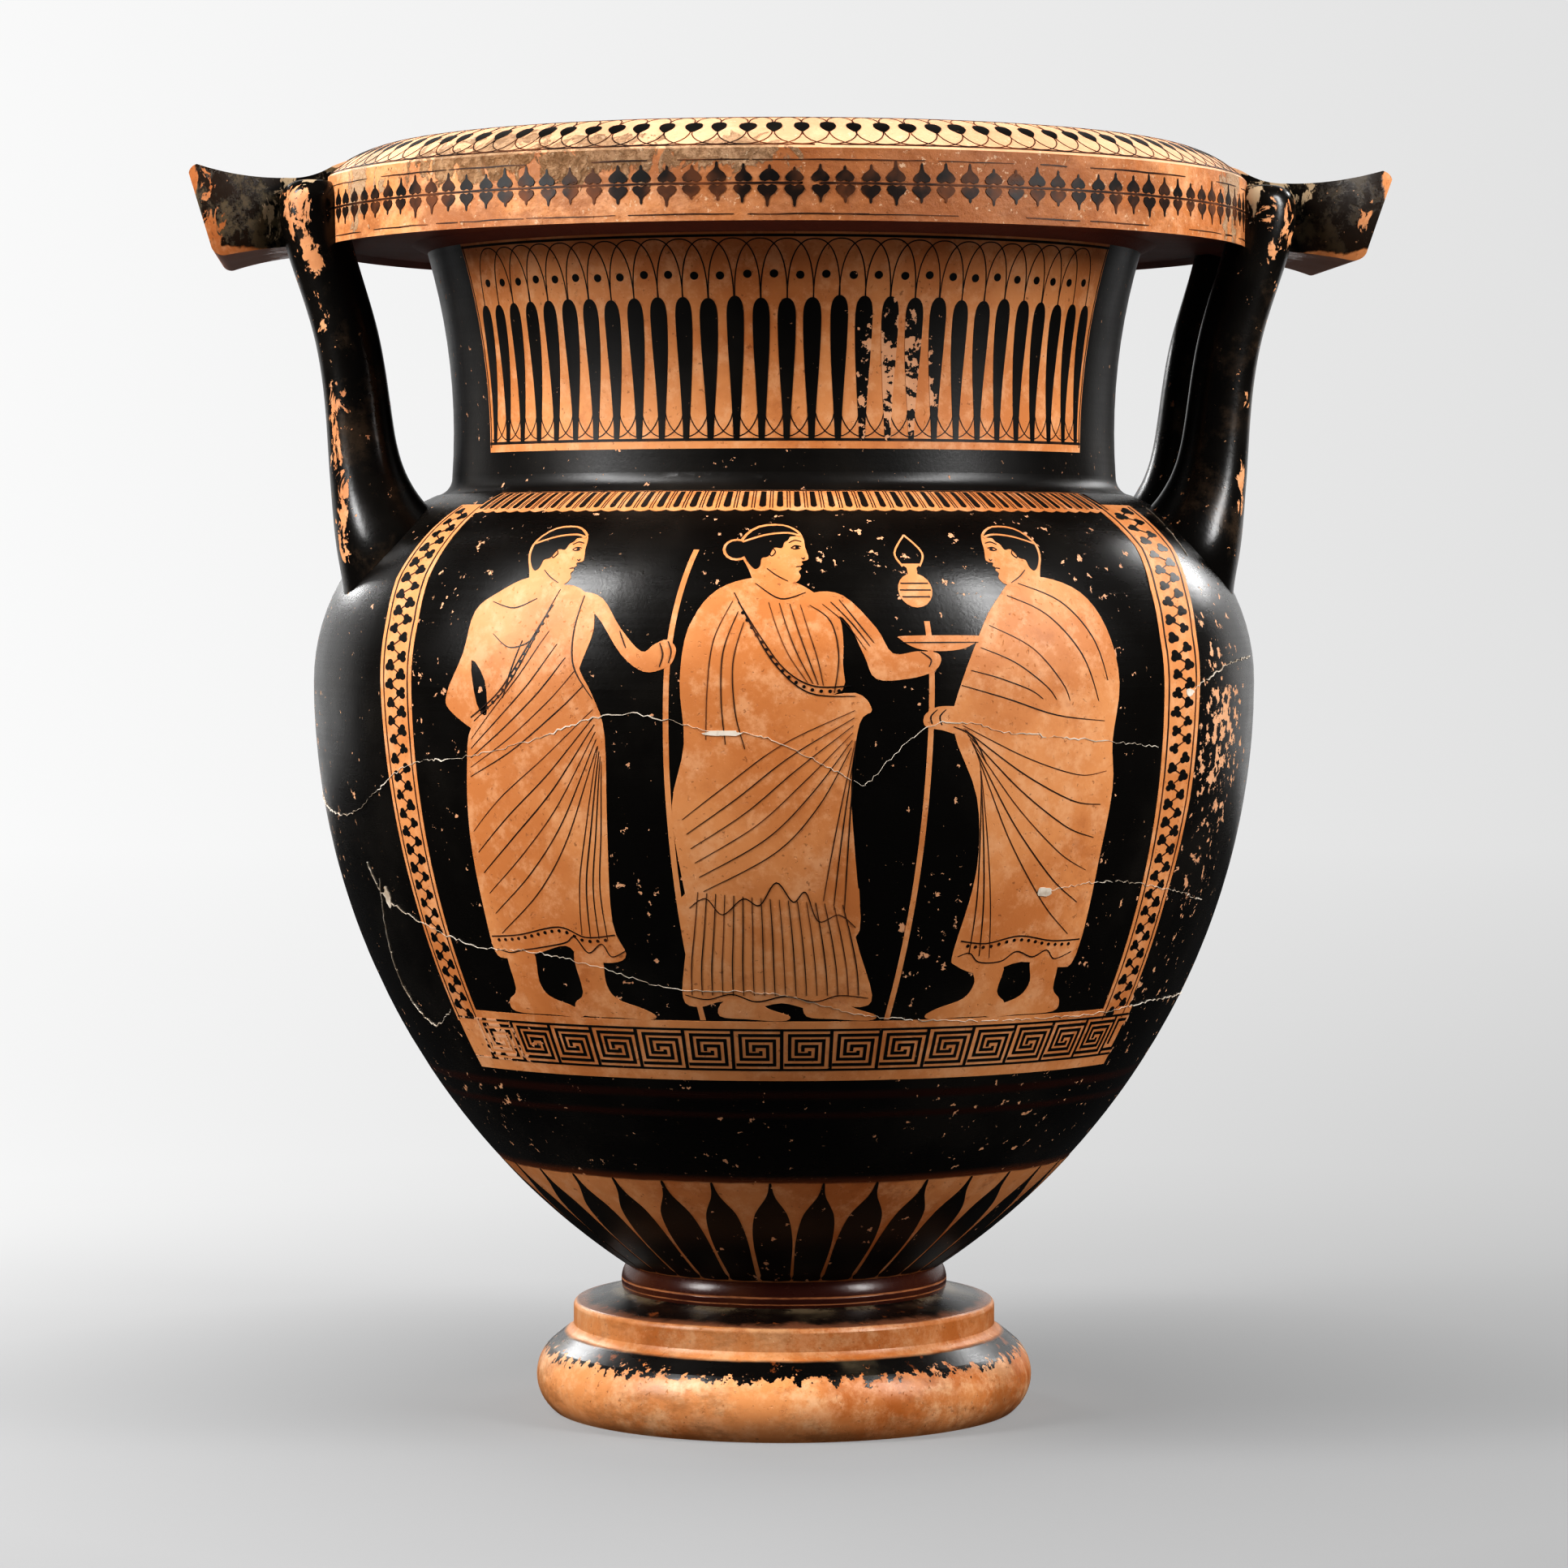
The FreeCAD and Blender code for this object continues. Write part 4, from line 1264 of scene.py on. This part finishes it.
staffBearer = {
    "shapes": [
        [
            (-4, 136), (-12, 131), (-18, 125), (-20, 112), (-25, 100), (-24, 95), (-14, 88), (-8, 86),
            (8, 92), (15, 110), (17, 122), (11, 130), (4, 135),
        ],
        [
            (9, 127), (17, 124), (25, 112), (31, 107), (36, 108), (38, 110), (38.5, 114), (36, 116.5),
            (33, 115), (30, 113), (24, 120), (18, 129), (12, 131),
        ],
        [
            (6, 133), (13, 131), (17, 122), (14, 110), (18, 100), (21, 88), (20, 60), (18, 32), (20, 22),
            (16, 19), (8, 20), (4, 24), (-5, 21), (-14, 19), (-18, 21), (-19, 34), (-20, 58), (-19, 78),
            (-17, 90), (-9, 96), (0, 108), (5, 122),
        ],
        bareFoot(-14, (-14, 22), (-6, 22), 1),
        bareFoot(6, (6, 22), (13, 21)),
    ],
    "holes": {0: [[(-17, 110), (-15, 97), (-12, 94), (-12.5, 104)]]},
    "staff": [(35.5, 0.5), (36.2, 80), (37.4, 146)],
    "head": (1, 134),
    "relief": [
        [(6, 132), (1, 116), (-6, 102), (-16, 92)],
        [(13, 130), (12, 118), (13, 108), (18, 99)],
        [(-13, 128), (-6, 126), (0, 129)],
        [(-11, 118), (-6, 114), (-1, 115), (2, 118)],
        [(-2, 116), (-5, 106), (-7, 99)],
        [
            (20, 23), (16, 21), (14, 25), (10, 22), (7, 27), (4, 25), (-4, 23), (-9, 22), (-13, 21),
            (-17, 22),
        ],
        [(34.4, 115.5), (35.4, 112), (34.8, 108.4)],
        [(36.4, 116), (37.4, 113), (37.0, 109.6)],
        [(24, 119), (26, 114)],
    ],
    "fans": [
        ([(4, 121), (-3, 108), (-10, 98), (-17, 88)], [(17, 101), (10, 94), (-4, 82), (-18, 74)], 5),
        ([(18, 97), (4, 84), (-10, 72), (-19, 62)], [(19, 84), (10, 56), (0, 38), (-14, 24)], 6),
        ([(19, 86), (14, 62), (10, 44), (8, 28)], [(20, 80), (19, 60), (17, 42), (17, 26)], 4),
    ],
    "hems": [[(5, 127), (-1, 113), (-8, 101), (-17, 93)], [(-18, 26), (-9, 27), (3, 30), (10, 27), (18, 28)]],
}
libationBearer = {
    "shapes": [
        [
            (-4, 136), (-13, 132), (-19, 122), (-20, 106), (-18, 100), (14, 100), (17, 110), (16, 124),
            (10, 131), (4, 135),
        ],
        [
            (-19, 44), (-21, 24), (-22, 8), (-18, 5), (-12, 7), (-6, 4.5), (2, 6.5), (9, 4.5), (15, 6.5),
            (21, 5), (24, 9), (20, 28), (18, 46),
        ],
        [
            (-14, 130), (-20, 120), (-22, 104), (-21, 86), (-24, 68), (-22, 48), (-19, 36), (-10, 33),
            (2, 44), (10, 36), (15, 28), (21, 30), (20, 52), (19, 74), (21, 92), (24, 96), (20, 101),
            (8, 100), (0, 108), (-6, 122), (-10, 131),
        ],
        [
            (8, 127), (17, 123), (22, 112), (25, 105), (33, 105), (39, 107), (41, 110), (40, 112.5),
            (35, 113), (29, 112.5), (25, 120), (17, 130), (10, 131),
        ],
        [(31, 116.5), (35, 113.8), (41, 113), (47, 113.8), (51, 116.5), (50, 117.6), (32, 117.6)],
        [(-12, 7), (-13, 2), (-6, 1), (2, 0.4), (4, 2), (-1, 4.5), (-5, 7.5)],
        [(8, 7), (8, 2), (15, 1), (23, 0.4), (25, 2), (20, 4.5), (15, 7.5)],
    ],
    "head": (0, 134.5),
    "bun": (-10.5, 11.5, 4.2),
    "relief": [
        [(-9, 131), (-5, 121), (1, 109), (9, 101), (20, 100)],
        [(-4, 134), (2, 129), (8, 131)],
        [
            (-20, 37), (-16, 40), (-12, 35), (-7, 40), (-3, 38), (1, 45), (5, 39), (8, 42), (11, 33),
            (16, 35), (20, 31),
        ],
        [(9, 127), (14, 122), (16, 112), (15, 101)],
        [(36, 112.8), (38.5, 110.6), (38, 108.4)],
        [(31, 115.6), (50.6, 115.6)],
        [(-21.4, 9), (-16, 7.6), (-10, 9.4), (-4, 7), (3, 8.8), (10, 7), (16, 9), (23, 8)],
    ],
    "fans": [
        ([(-19, 42), (-20, 30), (-21, 18), (-21, 9)], [(18, 38), (20, 28), (21.5, 18), (22, 9)], 17),
        ([(-10, 130), (-15, 118), (-17, 104), (-18, 88)], [(-6, 120), (-8, 108), (-7, 94), (-4, 84)], 3),
        ([(20, 97), (2, 88), (-12, 76), (-22, 66)], [(19, 84), (12, 66), (2, 52), (-16, 40)], 6),
        ([(20, 88), (16, 68), (13, 52), (11, 40)], [(20, 82), (19.4, 66), (19, 50), (18.6, 36)], 3),
        ([(-2, 128), (0, 120), (3, 112), (8, 104)], [(8, 127), (10, 119), (12, 111), (13, 103)], 4),
        ([(11, 127), (17, 121), (22, 113)], [(17, 129), (21, 122), (25, 116)], 3),
    ],
    "hems": [[(-8, 128), (-3, 118), (3, 108), (10, 103), (19, 103)]],
}


def fanLines(first, last, count):
    # lines that spread evenly from one fold to another
    first, last = curveThrough(first), curveThrough(last)
    shares = [(number + 0.5) / count for number in range(count)]
    return [[a.lerp(b, share) for a, b in zip(first, last)] for share in shares]


def dotsAlong(path, pitch):
    walked, spots = 0.0, []
    for here, there in zip(path, path[1:]):
        length = (there - here).length
        while walked <= length:
            spots.append(here.lerp(there, walked / length))
            walked += pitch
        walked -= length
    return spots


def paintFigure(figure, azimuth, way, clay, inset, black, thin, look=figureSettings):
    # clay is the figure's own layer, inset the black on it, then its relief lines and its thin ones
    frameOf = trueFrame(azimuth, groundLine)
    broad, at = look["broad"], figure["head"]

    def turned(spots):
        flipped = [Vector((x * broad * way, y + look["foot"])) for x, y in spots]
        return flipped if way > 0 else flipped[::-1]

    def onHead(spots):
        # a head keeps the width it is drawn with
        return turned([(x / broad + at[0], y + at[1]) for x, y in spots])

    def line(layer, path, width, taper=0.5):
        layer.stroke(frameOf, curveThrough(path), width * brush.uniform(0.85, 1.15), taper=taper)

    for number, shape in enumerate(figure["shapes"]):
        clay.lift = look["lift"] + look["shapeLift"] * number
        holes = [curveThrough(turned(hole), True, 3) for hole in figure.get("holes", {}).get(number, [])]
        clay.cover(frameOf, [curveThrough(turned(shape), True, 4)] + holes)
    clay.lift = look["headLift"]
    for layer, outline in ((clay, headOutline), (inset, hairOutline)):
        layer.cover(frameOf, [curveThrough(onHead(outline), True, 3)], 3.0)
    if "bun" in figure:
        x, y, size = figure["bun"]
        for layer, reach in ((clay, size), (inset, size - look["bunEdge"])):
            layer.cover(frameOf, [onHead(ringOf(x, y, reach, reach, 16))])
    if "staff" in figure:
        clay.stroke(frameOf, turned(figure["staff"]), look["staff"])
    for spots in headLines:
        line(black, onHead(spots), look["face"], 0.4)
    black.cover(frameOf, [onHead(dotOutline(*look["pupil"]))])
    clay.lift = look["bandLift"]
    clay.stroke(frameOf, curveThrough(onHead(look["band"])), look["bandWidth"])
    for spots in figure["relief"]:
        line(black, turned(spots), look["relief"])
    for first, last, count in figure["fans"]:
        for number, fold in enumerate(fanLines(first, last, count)):
            # every third fold is drawn in thin slip
            layer, width = (black, look["fold"]) if number % 3 else (thin, look["thin"])
            line(layer, turned(fold), width)
    for spots in figure["hems"]:
        path = curveThrough(turned(spots))
        black.stroke(frameOf, path, look["relief"])
        for spot in dotsAlong(path, look["hemPitch"])[1:-1]:
            black.cover(frameOf, [dotOutline(spot.x, spot.y - look["hemDrop"], look["hemDot"])])


# An oil flask on its strap, hung between two figures
flaskSettings = {
    "azimuth": 13,
    "height": 136,
    "lift": 0.13,
    "body": (5.2, 5.6),
    "neck": [(-1.4, 5), (1.4, 5), (1.5, 7.5), (3.2, 9), (-3.2, 9), (-1.5, 7.5)],
    "strap": [(2.6, 8), (4.2, 13), (0, 20)],
    "strapWidth": 0.6,
    "bands": (-2.2, 0.0, 2.2),
    "bandWidth": 0.35,
}


def hangFlask(look, middle, clay, black):
    clay.lift = look["lift"]
    frameOf = trueFrame(middle + look["azimuth"], groundLine)
    y = look["height"]
    clay.cover(frameOf, [ringOf(0, y, *look["body"], 20)])
    clay.cover(frameOf, [[(u, y + v) for u, v in look["neck"]]])
    for side in (-1, 1):
        clay.stroke(frameOf, curveThrough([(side * u, y + v) for u, v in look["strap"]]), look["strapWidth"])
    for level in look["bands"]:
        reach = math.sqrt(5.0**2 - level**2) - 0.3
        black.straight(frameOf, -reach, y + level, reach, y + level, look["bandWidth"])


def paintPicture(name, cast, middle):
    clay, inset = Slip(), over(0.21)
    black, thin = Slip(lift=0.24, sunk=-0.1), Slip(lift=0.22, sunk=-0.1)
    for figure, azimuth, way in cast:
        paintFigure(figure, azimuth + middle, way, clay, inset, black, thin)
    hangFlask(flaskSettings, middle, clay, black)
    clay.finish(name + "Figures", reservedClay, "orange_clay")
    inset.finish(name + "Hair", blackSlip)
    black.finish(name + "ReliefLines", blackLine)
    thin.finish(name + "ThinLines", brownLine)


paintPicture("front", [(staffBearer, -33, 1), (libationBearer, -4, 1), (mantledYouth, 28, -1)], -1.5)
paintPicture("back", [(mantledYouth, -33, 1), (staffBearer, -3, 1), (mantledYouth, 28, -1)], 178.5)
print("figures painted")


# The mouth's frieze: hearts that point up and down from a middle line
friezeSettings = {
    "count": 123,
    "middle": 10.8,  # heights up the frieze
    "edgeLines": (17.6, 1.9),
    "gaps": (1.0, 4.0, 9.0, 22.0),  # where the edge lines are worn through
    "line": 0.55,
    "heart": [
        (0, 0.9), (1.2, 0.4), (2.5, 0.75), (2.9, 1.7), (2.2, 2.8), (0.9, 3.8), (0.45, 4.6), (0.36, 5.7),
        (0, 6.2),
    ],
    "stem": 4,  # the heart's stem begins at this height, and varies in length
}


def paintFrieze(look, upper, lower, lines):
    frameOf = bandFrame(0, 0, rimRadius)
    around = math.tau * rimRadius
    middle, count = look["middle"], look["count"]
    path = [(step * around / 180, middle + about(0.08)) for step in range(180)]
    lines.stroke(frameOf, path, look["line"], True)
    for level in look["edgeLines"]:
        x = 0.0
        while x < around:
            run = brush.uniform(6, 46)
            steps = max(2, int(run / 6))
            path = [(x + run * step / steps, level + about(0.12)) for step in range(steps + 1)]
            lines.stroke(frameOf, path, brush.uniform(0.25, 0.5), taper=0.5)
            x += run + brush.choice(look["gaps"])
    for number in range(count):
        for way, layer in ((1, upper), (-1, lower)):
            x = number * (around / count) + about(0.35)
            size, stem = brush.uniform(0.88, 1.05), brush.uniform(0.8, 1.1)
            right = [(u * size, v * size * (stem if v > look["stem"] else 1)) for u, v in look["heart"]]
            outline = [(x + u, middle + way * v) for u, v in right]
            outline += [(x - u, middle + way * v) for u, v in reversed(right[1:-1])]
            layer.cover(frameOf, [outline], 5.0)


# The bud chain on the mouth's crown
crownSettings = {
    "count": 110,
    "azimuth": 1.2,
    "outerLine": 22.4,  # heights up and over the rim's outline
    "budOuter": 29.8,
    "budInner": 35.8,
    "innerLine": 44.5,
    "radius": 138.0,
    "edgeLine": 0.4,
    "arc": 0.28,
}


def paintCrown(look, buds, lines):
    frameOf = bandFrame(look["azimuth"], 0, look["radius"])
    around = math.tau * look["radius"]
    pitch = around / look["count"]
    low, tip = look["budOuter"], look["budInner"]
    for level in (look["outerLine"], look["innerLine"]):
        lines.stroke(frameOf, [(step * around / 200, level) for step in range(200)], look["edgeLine"], True)
    for number in range(look["count"]):
        x = number * pitch + about(0.4)
        wide = brush.uniform(2.2, 2.7)
        high = tip + about(0.6)
        right = [(wide * 0.6, low + 0.6), (wide, low + 2.6), (wide * 0.8, high - 0.9)]
        outline = [(x, low - 0.8)] + [(x + u, v) for u, v in right] + [(x, high)]
        outline += [(x - u, v) for u, v in reversed(right)]
        buds.cover(frameOf, [curveThrough(outline, True, 2)], 5.0)
        for start, end in ((low, look["outerLine"]), (tip - 0.6, look["innerLine"])):
            lines.stroke(frameOf, swell(x + pitch, pitch, start, (end - start) * 0.97, 2.2, 12), look["arc"])


# Rays round the bowl's base
raySettings = {
    "count": 34,
    "first": -6.97,
    "bend": 40,  # a ray leans from this far up
    # how far up from the base, and half the width there
    "outline": [
        (54.4, 0.35), (51, 0.7), (47.5, 1.6), (44, 3.2), (40, 4.8), (35, 5.6), (29, 5.9), (23, 5.8),
        (17, 5.4), (11, 4.9), (5, 4.4), (1.4, 4.1),
    ],
}


def paintRays(look, rays):
    for number in range(look["count"]):
        frameOf = trueFrame(look["first"] + 360 * number / look["count"] + about(0.25), 0)
        fat, lean = brush.uniform(0.94, 1.04), about(0.5)
        spots = [(wide * fat, lean * max(0, up - look["bend"]) / 14, up) for up, wide in look["outline"]]
        outline = [(aside + wide, up) for wide, aside, up in spots]
        outline += [(aside - wide, up) for wide, aside, up in reversed(spots)]
        rays.cover(frameOf, [curveThrough(outline, True, 2)], 4.5)


# Old breaks, filled with pale mortar: heights above the ground line by azimuth
crackSettings = {
    "radius": 145.0,
    "breaks": [
        [
            (-94, 72), (-80, 66), (-68, 67), (-54, 82), (-45, 85), (-35, 90), (-23, 99), (-12, 94),
            (-6, 92), (5, 78),
        ],
        [(5, 78), (13, 96), (23, 93), (32, 91), (45, 88)],
        [
            (-68, 51), (-64, 39), (-48, 27), (-38, 26), (-29, 22), (-18, 15), (-6, 14), (11, 5), (41, 3),
            (60, 5), (86, 3),
        ],
        [(29, 45), (41, 47), (64, 38)],
        [(52, 105), (62, 112), (74, 114)],
        [(67, 171), (64, 160), (62, 148)],
        [(-65, 46), (-70, 12), (-65, -3), (-57, 4)],
        [(120, 60), (150, 82), (178, 70), (205, 88), (235, 76)],
        [(160, 20), (185, 34), (214, 28)],
    ],
    "widths": (0.11, 0.13, 0.15, 0.19, 0.34),
    "broken": 0.18,  # the share of runs with a gap before the next
    "fills": [(-11, 93.5, 5.6, 0.9), (51, 104, 2.4, 1.2), (-64, 40, 2.0, 3.4), (29, 45, 3.0, 1.4)],
    "pale": (0.80, 0.72, 0.62),
    "grey": (0.46, 0.37, 0.28),
    "patches": (120, 4, 0.55, 1.1, 0.4, 0.65),
}


def paintCracks(look, mortar):
    radius = look["radius"]
    frameOf = bandFrame(0, groundLine, radius)
    for path in look["breaks"]:
        path = [(math.radians(azimuth) * radius, height) for azimuth, height in path]
        smooth = curveThrough(path, False, 10)
        jagged = [spot + Vector((about(0.4), about(0.45))) for spot in divide(smooth, 1.6)]
        first = 0
        while first < len(jagged) - 2:
            last = min(len(jagged) - 1, first + brush.randint(3, 11))
            mortar.stroke(frameOf, jagged[first:last + 1], brush.choice(look["widths"]), taper=0.5)
            first = last + (brush.random() < look["broken"])
    for azimuth, height, wide, tall in look["fills"]:
        spots = []
        for step in range(14):
            angle = math.tau * step / 14
            reach = brush.uniform(0.75, 1.15)
            x = math.radians(azimuth) * radius + wide * reach * math.cos(angle)
            spots.append((x, height + tall * reach * math.sin(angle)))
        mortar.cover(frameOf, [spots])


def makeMortar(look):
    nodes = Nodes("paleMortar")
    grey = nodes.patches(*look["patches"])
    finishSurface(nodes, nodes.mix(grey, look["pale"], look["grey"]), 1.0)
    return nodes.material


friezeUpper, friezeLower, friezeLines = Slip(rimLine), Slip(rimLine), Slip(rimLine, 0.1)
paintFrieze(friezeSettings, friezeUpper, friezeLower, friezeLines)
friezeUpper.finish("friezeUpperHearts", makeLine("friezeBlack", (0.008, 0.006, 0.005), 0.55))
friezeLower.finish("friezeLowerHearts", makeLine("friezeBrown", (0.016, 0.008, 0.005), 0.9))
friezeLines.finish("friezeLines", brownLine)

crownBuds, crownLines = Slip(rimLine), Slip(rimLine, 0.1)
paintCrown(crownSettings, crownBuds, crownLines)
crownBuds.finish("crownBuds", blackSlip)
crownLines.finish("crownLines", brownLine)

rays = Slip()
paintRays(raySettings, rays)
rays.finish("baseRays", makeGloss("raySlip", 0.775, dull=0.1))

mortar = Slip(lift=0.29, sunk=-0.2)
paintCracks(crackSettings, mortar)
mortar.finish("mendedBreaks", makeMortar(crackSettings), "orange_clay")
print("mouth, base and breaks painted")
